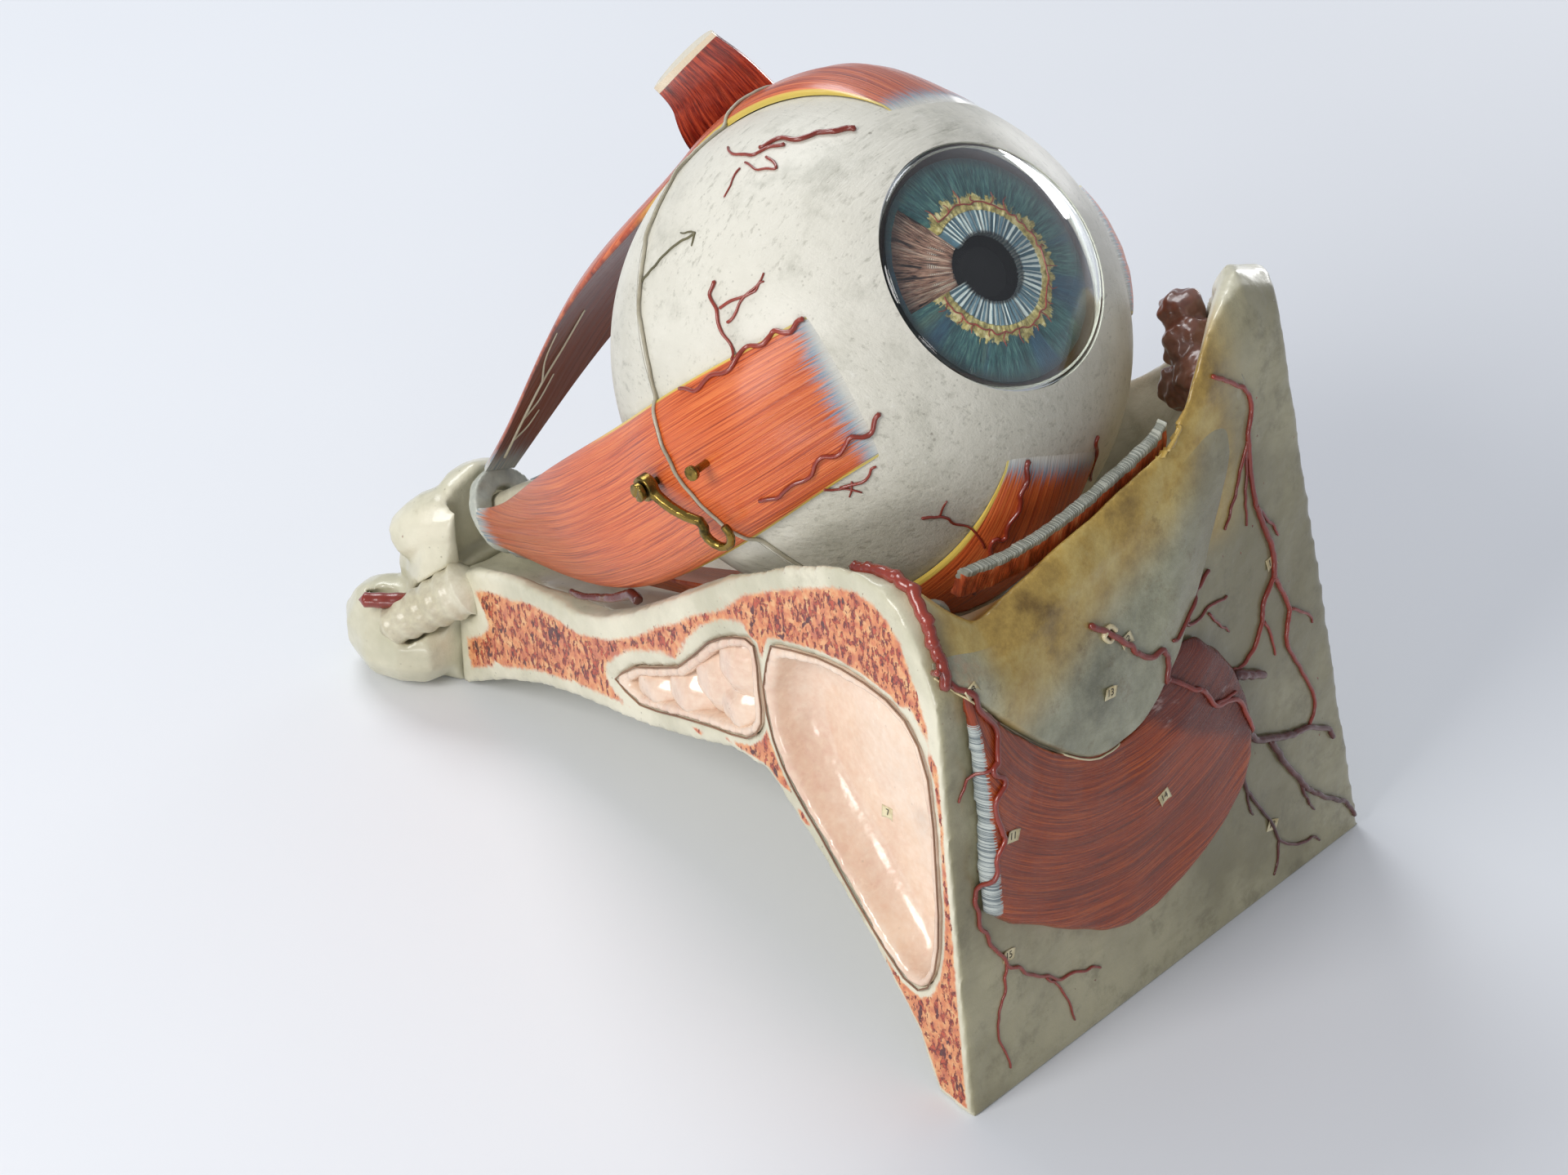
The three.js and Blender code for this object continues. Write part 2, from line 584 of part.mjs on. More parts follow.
function opticNerve() {
  const from = apexDirection.clone().multiplyScalar(CHOROID_OUT + FIT_GAP);
  const to = apexLocal.clone().addScaledVector(apexDirection, -FIT_GAP);
  const middle = from.clone().lerp(to, 0.5).add(v3(0, -3, 0));
  const nearStart = from.clone().addScaledVector(apexDirection, SCLERA_WALL * 1.5);
  const nearEnd = to.clone().addScaledVector(apexDirection, -TENDON_RING_THICKNESS * 1.5);
  const radiusAt = (share) => lerp(NERVE_R, NERVE_TIP_R, smooth(share * 1.15));
  return tube([from, nearStart, middle, nearEnd, to], radiusAt, 8, 14);
}

function tendonRing() {
  const inner = NERVE_TIP_R + FIT_GAP + 0.6;
  const depth = TENDON_RING_THICKNESS;
  const section = [
    v2(inner, 0),
    v2(TENDON_RING_R - 1, 0),
    v2(TENDON_RING_R, 1),
    v2(TENDON_RING_R, depth),
    v2(inner, depth),
    v2(inner, 0),
  ];
  const ring = new THREE.LatheGeometry(section, 24).rotateX(Math.PI / 2);
  ring.applyQuaternion(new THREE.Quaternion().setFromUnitVectors(UP, apexDirection.clone().negate()));
  const at = apexLocal.clone().addScaledVector(apexDirection, -FIT_GAP);
  return solid(ring.translate(at.x, at.y, at.z));
}

// Highest point of the given meshes along a line from outside, in their parent's frame.
const caster = new THREE.Raycaster();
function surfacePoint(meshes, outside, inwards) {
  caster.set(outside, inwards);
  const hits = caster.intersectObjects(meshes, false);
  return hits.length ? hits[0].point : null;
}

// A vessel laid on the eyeball or its muscles, through (angle from the gaze, azimuth) points.
function vesselOnGlobe(points, r, meshes, wave, waves) {
  const route = new THREE.SplineCurve(points.map(([angle, azimuth]) => v2(angle, azimuth)));
  const steps = waves * 4;
  const shares = evenShares(steps);
  const lifts = shares.map((share) => {
    const at = route.getPointAt(share);
    const way = route.getTangentAt(share);
    const swing = wave * Math.sin(share * waves * 2 * Math.PI);
    const direction = gazeDirection(at.x - way.y * swing, at.y + way.x * swing);
    const hit = surfacePoint(meshes, direction.clone().multiplyScalar(FAR), direction.clone().negate());
    return { direction, height: hit ? hit.length() : GLOBE_R };
  });
  const laid = lifts.map(({ direction }, i) => {
    const near = lifts.slice(Math.max(0, i - 1), i + 2).map((lift) => lift.height);
    return direction.clone().multiplyScalar(Math.max(...near) + r + 2 * FIT_GAP);
  });
  return tube(laid, (share) => r * lerp(1, 0.6, share), steps, 6);
}

// The clasp: points on a sphere round the eyeball's centre, by angle and bearing from the hook's screw.
const CLASP_MUSCLE_TOP = GLOBE_R + RECTUS_THICKNESS * 1.2 + 2 * FIT_GAP;
const CLASP_R = CLASP_MUSCLE_TOP + HOOK_WIRE_R + 2 * FIT_GAP;
const HOOK_SCREW_ANGLE = 97; // behind the seam, as its pin is before it
const pivotDirection = gazeDirection(HOOK_SCREW_ANGLE, 184);
const pinDirection = gazeDirection(HOOK_SCREW_ANGLE - HOOK_REACH, 186.5);
const towardsPin = pinDirection
  .clone()
  .addScaledVector(pivotDirection, -pinDirection.dot(pivotDirection))
  .normalize();
const claspTurn = (bearing) => towardsPin.clone().applyAxisAngle(pivotDirection, rad(bearing));

function hook() {
  const onSphere = (angle, bearing) =>
    pivotDirection
      .clone()
      .multiplyScalar(cos(angle))
      .addScaledVector(claspTurn(bearing), sin(angle))
      .multiplyScalar(CLASP_R);
  const loop = deg(HOOK_LOOP_R / CLASP_R);
  const reach = HOOK_REACH;
  const hang = -HOOK_OPEN_ANGLE;
  const loopPoint = (turn) => {
    const angle = reach + loop * Math.cos(rad(turn));
    const bearing = hang + deg((loop * Math.sin(rad(turn))) / reach);
    return onSphere(angle, bearing);
  };
  const arm = [onSphere(1.5, hang), onSphere(reach * 0.35, hang - 3), onSphere(reach * 0.62, hang + 1)];
  const bow = [-200, -130, -70, -20, 25, 60].map(loopPoint);
  const wire = tube([...arm, ...bow], (share) => HOOK_WIRE_R * (1.15 - 0.35 * share), 18, 6);
  const at = (r) => pivotDirection.clone().multiplyScalar(r);
  const eye = pin(at(CLASP_R - HOOK_WIRE_R), at(CLASP_R + HOOK_WIRE_R * 1.15), HOOK_EYE_R, 16);
  const bore = pin(at(CLASP_R - 6), at(CLASP_R + 6), SCREW_R + FIT_GAP);
  return wire.add(eye).subtract(bore);
}

const hookScrew = () => {
  const at = (r) => pivotDirection.clone().multiplyScalar(r);
  const seat = CLASP_R + HOOK_WIRE_R * 1.15 + FIT_GAP;
  const slotAcross = claspTurn(30).multiplyScalar(SCREW_HEAD_R + 1);
  const head = pin(at(seat), at(seat + 1.6), SCREW_HEAD_R, 16);
  const slot = pin(at(seat + 1.7).sub(slotAcross), at(seat + 1.7).add(slotAcross), 0.5, 6);
  return head.subtract(slot).add(pin(at(CLASP_MUSCLE_TOP - SCREW_DEPTH - 2), at(seat + 0.4), SCREW_R, 12));
};

const hookPin = () => {
  const at = (r) => pinDirection.clone().multiplyScalar(r);
  const top = CLASP_R + HOOK_WIRE_R + 2 * FIT_GAP;
  const shank = pin(at(CLASP_MUSCLE_TOP - SCREW_DEPTH - 2), at(top + 0.4), SCREW_R, 12);
  return shank.add(pin(at(top), at(top + 1.3), SCREW_HEAD_R * 0.8, 12));
};

const screwHole = (direction) => {
  const at = (r) => direction.clone().multiplyScalar(r);
  return pin(at(GLOBE_R - 1), at(GLOBE_R + 20), SCREW_R + FIT_GAP);
};

// The frontal bone: upright outlines fanned from the cut midline face to the outer side.
const ALONG = v3(sin(SECTION_YAW), cos(SECTION_YAW), 0);
const INTO_BONE = v3(cos(SECTION_YAW), -sin(SECTION_YAW), 0);
const FOOT_CORNER = v3(FOREHEAD_X, FOREHEAD_Y, 0);
const onSection = (s, z, depth = 0) =>
  FOOT_CORNER.clone().addScaledVector(ALONG, s).addScaledVector(INTO_BONE, depth).setZ(z);
const frontLine = (z) => z * Math.tan(rad(FOREHEAD_LEAN));

// Top outlines as (share of the length, share of the rim height), behind the forehead's flat.
const BACK_TOP = [[0.54, 0.64], [0.64, 0.51], [0.73, 0.43], [0.83, 0.4], [0.92, 0.355], [1, 0.28]];
const MIDLINE_TOP = [[0.116, 0.925], [0.165, 0.99], [0.225, 0.995], [0.305, 0.93], [0.42, 0.8], ...BACK_TOP];
const MIDDLE_TOP = [[0.1, 0.99], [0.112, 1.005], [0.13, 0.95], [0.2, 0.82], [0.42, 0.8], ...BACK_TOP];
const OUTER_TOP = [
  [0.118, 0.965], [0.145, 1], [0.19, 0.98], [0.25, 0.84], [0.32, 0.7],
  [0.45, 0.61], [0.6, 0.53], [0.73, 0.44], [0.83, 0.36], [0.92, 0.3], [1, 0.24],
];
const ARCH = [
  [1, 0.02], [0.86, 0.33], [0.75, 0.51], [0.585, 0.7],
  [0.46, 0.9], [0.375, 1], [0.25, 0.72], [0.12, 0.35],
];

const rimHeight = (t) => {
  const notch = RIM_NOTCH * smooth((t - 0.04) / 0.1);
  const brow = BROW_RISE * Math.min(Math.max((t - 0.14) / 0.56, 0), 1);
  const pillar = PILLAR_RISE * smooth((t - 0.65) / 0.18);
  return RIM_HEIGHT - notch + brow + pillar - 6 * smooth((t - 0.9) / 0.1);
};

function boneOutline(t) {
  const toMiddle = smooth(t / 0.14);
  const toOuter = smooth((t - 0.7) / 0.2);
  const rim = rimHeight(t);
  const top = MIDLINE_TOP.map((p, i) => {
    const s = lerp(lerp(p[0], MIDDLE_TOP[i][0], toMiddle), OUTER_TOP[i][0], toOuter);
    const h = lerp(lerp(p[1], MIDDLE_TOP[i][1], toMiddle), OUTER_TOP[i][1], toOuter);
    const risen = lerp(rim, RIM_HEIGHT, smooth((s - 0.1) / 0.12) * (1 - toOuter));
    const z = h * risen;
    return v2(Math.max(s * BASE_LENGTH, frontLine(z) + FOREHEAD_ROUNDING), z);
  });
  const frontTop = rim * lerp(0.82, 0.93, toMiddle);
  const face = [v2(0, 0), v2(frontLine(frontTop), frontTop)];
  const arch = ARCH.map(([s, h]) => v2(s * BASE_LENGTH, h * ARCH_HEIGHT));
  const over = new THREE.SplineCurve([face.at(-1), ...top]).getPoints(19).slice(1);
  const under = new THREE.SplineCurve([...arch, v2(FOOT_THICKNESS, 0)]).getPoints(11);
  return [...face, ...over, v2(BASE_LENGTH, 0), ...under.slice(1)];
}

const outerX = (s, z) => {
  const plan = lerp(FOREHEAD_X + FOREHEAD_WIDTH, BACK_X, smooth((s - 50) / (BASE_LENGTH - 50)));
  return plan - SIDE_LEAN * z * (1 - smooth(s / 65));
};

const SLICES = [0, 0.05, 0.1, 0.15, 0.26, 0.4, 0.54, 0.66, 0.72, 0.78, 0.84, 0.9, 0.96, 1];

// Height of the rim's edge over a place on the forehead.
const RIM_DEPTH = 25;
const rimOver = (x) => {
  const inner = onSection(RIM_DEPTH, 0).x;
  return rimHeight((x - inner) / (outerX(RIM_DEPTH, RIM_HEIGHT) - inner));
};

function frontalBone() {
  const rings = SLICES.map((t) =>
    boneOutline(t).map((p) => {
      const inner = onSection(p.x, p.y);
      return v3(lerp(inner.x, outerX(p.x, p.y), t), inner.y, inner.z);
    }),
  );
  const whole = loftOutlines(rings, (p) => v2(p.y, p.z));
  return whole.subtract(orbitSpace());
}

// Radius of a rounded square of half width 1, at an angle.
const squareness = (turn, power) =>
  (Math.abs(Math.cos(turn)) ** power + Math.abs(Math.sin(turn)) ** power) ** (-1 / power);
const ORBIT_FRONT_R = GLOBE_R + ORBIT_FRONT_GAP;

// The space of the orbit: a bowl round the eyeball and a trough that narrows to the apex.
function orbitSpace(inset = 0) {
  const side = GLOBE_R + ORBIT_SIDE_GAP - inset;
  const front = ORBIT_FRONT_R - inset;
  const floor = GLOBE_HEIGHT - GLOBE_R - ORBIT_FLOOR_GAP + inset;
  const layers = evenShares(8).map((k) => {
    const height = -Math.cos(k * Math.PI * 0.9 + 0.16);
    const spread = Math.sqrt(1 - height ** 2);
    const z = GLOBE_HEIGHT + (GLOBE_HEIGHT - floor) * height;
    return Array.from({ length: 28 }, (_, i) => {
      const turn = (i / 28) * 2 * Math.PI;
      const square = squareness(turn, ORBIT_SQUARE);
      const x = ORBIT_X + side * spread * square * Math.cos(turn);
      return v3(x, front * spread * square * Math.sin(turn), z);
    });
  });
  const startR = 44 - inset;
  const rings = evenShares(6).map((k) => {
    const start = v3(-12, -10, floor - 2 + startR);
    const at = start.lerp(v3(APEX.x + 1, APEX.y + 8, APEX.z), k);
    const r = lerp(startR, TENDON_RING_R + 3.5, k);
    return Array.from({ length: 20 }, (_, i) => {
      const turn = (i / 20) * 2 * Math.PI;
      const square = squareness(turn, 3.5);
      return at.clone().add(v3(r * square * Math.cos(turn), 0, r * square * Math.sin(turn)));
    });
  });
  return loft(layers).add(loft(rings));
}

// Sinus outlines on the midline face, as (distance from the forehead's foot, height).
const CAVITY = [
  [80, 96], [62, 103], [44, 106], [29, 104], [20, 92], [16, 66], [14.5, 45],
  [18, 30], [27, 27], [46, 39], [60, 50], [71, 58], [79, 68], [83, 82],
];
const CELL = [
  [147, 47], [138, 56], [119, 67], [106, 82], [95, 90], [87, 92],
  [85, 80], [84, 70], [90, 62], [104, 57], [120, 51], [136, 45],
];

// A rounded hollow behind an outline on the midline face, made smaller all round by inset.
function hollow(outline, inset, depth, reach = 0) {
  const curve = new THREE.SplineCurve([...outline, outline[0]].map(([s, z]) => v2(s, z)));
  const points = curve.getPoints(outline.length * 2).slice(0, -1);
  const count = points.length;
  const middle = points.reduce((sum, p) => sum.add(p), v2(0, 0)).divideScalar(count);
  const turnIn = Math.sign(THREE.ShapeUtils.area(points));
  const shrunk = points.map((p, i) => {
    const way = points[(i + 1) % count].clone().sub(points[(i + count - 1) % count]).normalize();
    return p.clone().addScaledVector(v2(-way.y, way.x), inset * turnIn);
  });
  const rings = [0, 25, 50, 78].map((a) => {
    const scale = 1 - SINUS_TAPER * (1 - cos(a));
    const drawnIn = shrunk.map((p) => p.clone().sub(middle).multiplyScalar(scale).add(middle));
    return drawnIn.map((p) => onSection(p.x, p.y, depth * sin(a)));
  });
  if (reach) rings.unshift(rings[0].map((p) => p.clone().addScaledVector(INTO_BONE, -reach)));
  return loftOutlines(rings, (p) => v2(p.y / cos(SECTION_YAW), p.z));
}

const sinusRecess = (outline) => hollow(outline, 0, SINUS_DEPTH, 5);
const sinusLining = (outline) => {
  const cup = hollow(outline, FIT_GAP, SINUS_DEPTH - FIT_GAP, 0);
  return cup.subtract(hollow(outline, FIT_GAP + SINUS_LINING, SINUS_DEPTH - FIT_GAP - SINUS_LINING, 5));
};

// Folded mucous membrane that fills the small sinus cell.
function sinusFolds() {
  const seat = hollow(CELL, 2 * FIT_GAP + SINUS_LINING, SINUS_DEPTH - 2 * FIT_GAP - SINUS_LINING, 0);
  const lobes = [[131, 51, 11, 7], [117, 58, 11, 9], [106, 69, 10, 10], [97, 79, 9, 10], [96, 66, 9, 8]];
  const swell = joined(lobes.map(([s, z, rs, rz]) => ball(onSection(s, z, SINUS_DEPTH - 5), 9, rs, rz, 8)));
  return mainBody(seat.intersect(swell));
}

// Pieces on the forehead: outlines in (x, z), lifted off its leaning plane.
const PANEL_OUT = v3(0, -cos(FOREHEAD_LEAN), sin(FOREHEAD_LEAN));
const onPanel = (x, z, lift) => v3(x, FOREHEAD_Y + frontLine(z), z).addScaledVector(PANEL_OUT, lift);

const FLAP = [
  [-64, 112], [-58, 101], [-46, 88], [-30, 77], [-15, 73], [-3, 77], [8, 88], [20, 101], [29, 116],
  [37, 132], [42, 148], [37, 155], [29, 144], [17, 134], [-4, 129], [-22, 124], [-40, 118], [-54, 115],
];
const BROW_MUSCLE = [
  [-68, 112], [-50, 110], [-40, 94], [-28, 80], [-15, 74], [-4, 76], [3, 84], [16, 88], [28, 76],
  [34, 56], [29, 40], [12, 30], [-9, 24], [-29, 28], [-49, 41], [-68, 55], [-66, 80],
];

// A pad on the forehead between two lifts, with its outer edge rounded and its outline grown.
function panelPad(outline, low, high, round, grow = 0) {
  const curve = new THREE.SplineCurve([...outline, outline[0]].map(([x, z]) => v2(x, z)));
  const points = curve.getPoints(outline.length * 2).slice(0, -1);
  const count = points.length;
  const rings = [0, 30, 60, 88].map((a) =>
    points.map((p, i) => {
      const way = points[(i + 1) % count].clone().sub(points[(i + count - 1) % count]).normalize();
      const inwards = v2(-way.y, way.x).multiplyScalar(Math.sign(THREE.ShapeUtils.area(points)));
      const q = p.clone().addScaledVector(inwards, round * (1 - cos(a)) - grow);
      return onPanel(q.x, q.y, low + (high - low) * sin(a));
    }),
  );
  return loftOutlines(rings, (p) => v2(p.x, p.z));
}

const flapPad = () => panelPad(FLAP, FIT_GAP, FIT_GAP + FLAP_THICKNESS, 2);
const flapRoom = () => panelPad(FLAP, -2, FLAP_THICKNESS * 3, 0, 3 * FIT_GAP);
const musclePad = () => {
  const pad = panelPad(BROW_MUSCLE, FIT_GAP, FIT_GAP + BROW_MUSCLE_THICKNESS, 2.5);
  return pad.subtract(flapRoom());
};

// Ribbed edge of the lid muscle along the inner edge of the brow.
function lidMuscle() {
  const side = GLOBE_R + ORBIT_SIDE_GAP;
  const rings = evenShares(16).map((k) => {
    const x = lerp(-44, 18, k);
    const top = v3(x, 0, rimOver(x) + LID_STANDS_OUT);
    const wall = (z, inset) => {
      const spread = Math.sqrt(1 - ((z - GLOBE_HEIGHT) / (GLOBE_R + ORBIT_FLOOR_GAP)) ** 2);
      const share = 1 - (Math.abs(x - ORBIT_X) / (side * spread)) ** ORBIT_SQUARE;
      return v3(x, -ORBIT_FRONT_R * spread * share ** (1 / ORBIT_SQUARE) + inset, z);
    };
    const back = 7 * FIT_GAP;
    const low = top.z - LID_WIDTH;
    const front = back + LID_THICKNESS;
    return [wall(low, back), wall(top.z, back), wall(top.z, front), wall(low, front)];
  });
  return loft(rings);
}

// Highest points under a route on the bone, as seen along outAt, with a vessel laid over them.
function vesselOnBone(points, r, meshes, outAt, endShare = 0.6) {
  const route = new THREE.CatmullRomCurve3(points);
  const steps = points.length * 3;
  const feet = evenShares(steps).map((share) => {
    const at = route.getPointAt(share);
    const out = outAt(at);
    const hit = surfacePoint(meshes, at.clone().addScaledVector(out, GLOBE_R), out.clone().negate());
    return { at, out, lift: hit ? hit.clone().sub(at).dot(out) : 0 };
  });
  const laid = feet.map(({ at, out }, i) => {
    const near = feet.slice(Math.max(0, i - 2), i + 3).map((foot) => foot.lift);
    return at.clone().addScaledVector(out, Math.max(...near) + r + 2 * FIT_GAP);
  });
  return tube(laid, (share) => r * lerp(1, endShare, share), steps, 7);
}

// Forwards over the forehead, and turning upwards over the rim of the orbit.
const RIM_TURN = v3(0, FOREHEAD_Y + 60, RIM_HEIGHT - 31);
const offForehead = (p) => v3(0, p.y - RIM_TURN.y, Math.max(p.z - RIM_TURN.z, 0)).normalize();

const MEDIAL_ARTERY_RIM = [v3(-66, -56, 135), v3(-66, -64, 135), v3(-67, -73, 134), v3(-69, -82, 131)];
const MEDIAL_ARTERY_FACE = [
  [-70, 125], [-69, 118], [-65.8, 110], [-64.1, 102], [-68, 97],
  [-65.4, 91], [-69.3, 88], [-68.4, 80], [-69.6, 72], [-71, 64],
];
const BROW_ARTERY_R = 2;
const BROW_ARTERY = [[-22.8, 111], [-17.3, 106], [-10.8, 100], [-4.2, 97], [-3.6, 92], [-4.6, 86]];
const TEMPLE_ARTERY_R = 1.6;
const TEMPLE_ARTERY = [[14.2, 73.4], [23.5, 67.6], [27.8, 59.5], [32.2, 52.4], [43.7, 47.3], [50.4, 44.3]];
const onFace = (points) => points.map(([x, z]) => onPanel(x, z, 0));

// Artery along the ledge between the orbit and the midline face, by distance from the forehead's foot.
const LEDGE_ARTERY_R = 1.6;
const LEDGE_ARTERY = [[140, 3], [146, 3.8], [152, 2.8], [158, 3.8], [165, 2.8], [172, 3.6]];

// Lobed tear gland in the outer corner of the orbit, and the knob of the muscle's pulley at the inner.
const byGlobe = (x, y, z) => v3(x, y, z).multiplyScalar(GLOBE_R).add(globe.position);
const GLAND = [
  [0.89, -0.86, -0.02, 8],
  [0.83, -0.97, -0.09, 8],
  [0.96, -0.76, 0.05, 7],
  [0.86, -0.86, -0.2, 7],
];
const PULLEY = byGlobe(-0.74, -0.98, -0.42);
const seatedInOrbit = (body) => body.intersect(orbitSpace(FIT_GAP));
const glandLobe = ([x, y, z, r]) => ball(byGlobe(x, y, z), r, r, r * 0.9, 9);
const tearGland = () => seatedInOrbit(joined(GLAND.map(glandLobe)));
const pulley = () => seatedInOrbit(ball(PULLEY, 5, 5, 5, 10));

// Root pieces behind the bone
const BACK_FACE = onSection(BASE_LENGTH, 0).y;

function sphenoid() {
  const lobe = ball(v3(-47, 133, 13), 15, 20, 15, 11);
  const core = ball(v3(-27, 122, 26), 24, 16, 38, 11);
  const knob = tube([v3(-33, 118, 50), v3(-39, 126, 48), v3(-43, 134, 41)], (k) => lerp(11, 7.5, k), 6, 12);
  const neck = ball(v3(-38, 128, 32), 9, 13, 17, 9);
  const room = block(v3(-FAR, BACK_FACE + FIT_GAP, 0), v3(FAR, FAR, FAR));
  const ringBack = APEX.y + TENDON_RING_R * Math.sqrt(1 - APEX_SLOPE ** 2) + FIT_GAP;
  const ringRoom = TENDON_RING_R + 2 * FIT_GAP;
  const notch = block(v3(APEX.x - ringRoom, -FAR, APEX.z - ringRoom), v3(APEX.x + ringRoom, ringBack, FAR));
  return joined([lobe, core, knob, neck]).intersect(room).subtract(notch);
}

const CAROTID = [v3(-51, 131.5, 27), v3(-52, 138, 23), v3(-51, 148, 17)];
const NERVE_STUB = [v3(-42, 111, 35), v3(-49, 119, 27), v3(-55, 126, 20)];

const carotid = (r) => tube(CAROTID, () => r, 8, 10);
const nerveStub = (grow) =>
  tube(NERVE_STUB, (k) => grow + (k < 0.62 ? 7.6 : 5.2), 10, 14);

// Assembly
const place = (group, name, body, material) => {
  const made = piece(name, mainBody(body), material);
  group.add(made);
  return made;
};

const model = new THREE.Group();
model.add(globe);

const globeFront = new THREE.Group();
globe.add(globeFront);

const scleraFrontMesh = place(globeFront, "sclera_front", scleraFront(), PAINT.sclera);
place(globeFront, "cornea", cornea(), PAINT.glass);
place(globeFront, "iris", iris(), PAINT.iris);
place(globeFront, "ciliary_body", ciliaryRing(), PAINT.ciliary);
place(globeFront, "choroid_front", choroidFront(), PAINT.choroid);

place(globe, "sclera_rear", scleraRear(), PAINT.sclera);
place(globe, "choroid_rear", choroidRear(), PAINT.choroid);
place(globe, "retina", retina(), PAINT.retina);
place(globe, "vitreous_body", vitreous(), PAINT.glass);
place(globe, "lens", lens(), PAINT.lens);

const pegTop = v3(0, 0, GLOBE_HEIGHT - GLOBE_R - FIT_GAP);
const pegLow = v3(0, 0, GLOBE_HEIGHT - GLOBE_R - ORBIT_FLOOR_GAP - PEG_DEPTH);
const pegHole = (grow) =>
  pin(pegLow.clone().setZ(pegLow.z - grow), pegTop.clone().setZ(pegTop.z + grow), PEG_R + grow, 14);
const pegHoleLocal = pin(inGlobe(0, 0, pegLow.z), inGlobe(0, 0, pegTop.z + 2), PEG_R + 2 * FIT_GAP, 14);

const frontMuscles = {};
for (const muscle of RECTI) {
  const { front, rear } = rectus(muscle);
  const holed = front.subtract(screwHole(pinDirection));
  frontMuscles[muscle.name] = place(globeFront, muscle.name + "_front", holed, PAINT.muscle);
  const drilled = rear.subtract(screwHole(pivotDirection)).subtract(pegHoleLocal);
  place(globe, muscle.name + "_rear", drilled, PAINT.muscle);
}
place(globe, "inferior_oblique", inferiorOblique(), PAINT.darkMuscle);
place(globe, "optic_nerve", opticNerve(), PAINT.nerve);
place(globe, "tendon_ring", tendonRing(), PAINT.tendon);

place(globe, "hook", hook(), PAINT.brass);
place(globe, "hook_screw", hookScrew(), PAINT.brass);
place(globeFront, "hook_pin", hookPin(), PAINT.brass);

const CILIARY_ARTERIES = [
  { on: "medial_rectus", waves: 4, route: [[46, 169], [56, 171], [66, 173], [76, 173]] },
  { on: "medial_rectus", waves: 4, route: [[45, 204], [56, 203], [66, 202], [77, 201]] },
  { on: "superior_rectus", waves: 3, route: [[44, 257], [52, 254], [61, 251], [72, 251]] },
  { on: "inferior_rectus", waves: 3, route: [[45, 101], [54, 106], [63, 110], [76, 114]] },
];
CILIARY_ARTERIES.forEach(({ on, waves, route }, i) => {
  const under = [scleraFrontMesh, frontMuscles[on]];
  const body = vesselOnGlobe(route, SMALL_ARTERY_R, under, 1.2, waves);
  place(globeFront, `ciliary_artery_${i + 1}`, body, PAINT.artery);
});

const recesses = sinusRecess(CAVITY).add(sinusRecess(CELL));
const stubHole = nerveStub(FIT_GAP);
const boneBody = frontalBone().subtract(recesses).subtract(pegHole(FIT_GAP)).subtract(stubHole);
const boneMesh = place(model, "frontal_bone", boneBody, PAINT.bone);
place(model, "support_peg", pegHole(0), PAINT.brass);
place(model, "sinus_lining", sinusLining(CAVITY), PAINT.sinus);
place(model, "sinus_cell_lining", sinusLining(CELL), PAINT.sinus);
place(model, "sinus_folds", sinusFolds(), PAINT.sinus);
place(model, "sphenoid", sphenoid().subtract(carotid(ARTERY_R + FIT_GAP)).subtract(stubHole), PAINT.bone);
place(model, "carotid_stub", carotid(ARTERY_R), PAINT.artery);
place(model, "optic_nerve_stub", nerveStub(0), PAINT.nerve);
const flapMesh = place(model, "brow_flap", flapPad(), PAINT.skin);
const browMesh = place(model, "brow_muscle", musclePad(), PAINT.darkMuscle);
place(model, "lid_muscle", lidMuscle(), PAINT.tendon);

place(model, "tear_gland", tearGland(), PAINT.gland);
place(model, "muscle_pulley", pulley(), PAINT.tendon);

const face = [boneMesh, flapMesh, browMesh];
const medialRoute = [...MEDIAL_ARTERY_RIM, ...onFace(MEDIAL_ARTERY_FACE)];
place(model, "medial_artery", vesselOnBone(medialRoute, ARTERY_R, face, offForehead, 0.5), PAINT.artery);
const browArtery = vesselOnBone(onFace(BROW_ARTERY), BROW_ARTERY_R, face, offForehead);
place(model, "brow_artery", browArtery, PAINT.artery);
const templeArtery = vesselOnBone(onFace(TEMPLE_ARTERY), TEMPLE_ARTERY_R, face, offForehead);
place(model, "temple_artery", templeArtery, PAINT.artery);
const ledgeRoute = LEDGE_ARTERY.map(([s, depth]) => onSection(s, RIM_HEIGHT * 0.6, depth));
const ledgeBody = vesselOnBone(ledgeRoute, LEDGE_ARTERY_R, [boneMesh], () => UP);
place(model, "ledge_artery", ledgeBody, PAINT.artery);

// The origin goes to the middle of the underside of the whole.
const whole = new THREE.Box3().setFromObject(model, true);
model.position.set(-(whole.min.x + whole.max.x) / 2, -(whole.min.y + whole.max.y) / 2, -whole.min.z);

export default model;
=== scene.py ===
"""Looks of the enlarged eye model: painted papier-mache, glass and brass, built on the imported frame.

Lengths are millimetres, measured from the point of the table under the eyeball's centre, and become
metres in the frame when a mesh is made. Directions on the eyeball are (angle from the gaze, azimuth).
"""

import math
import random

import bmesh
import bpy
import numpy as np
from mathutils import Matrix, Vector, noise
from mathutils.bvhtree import BVHTree


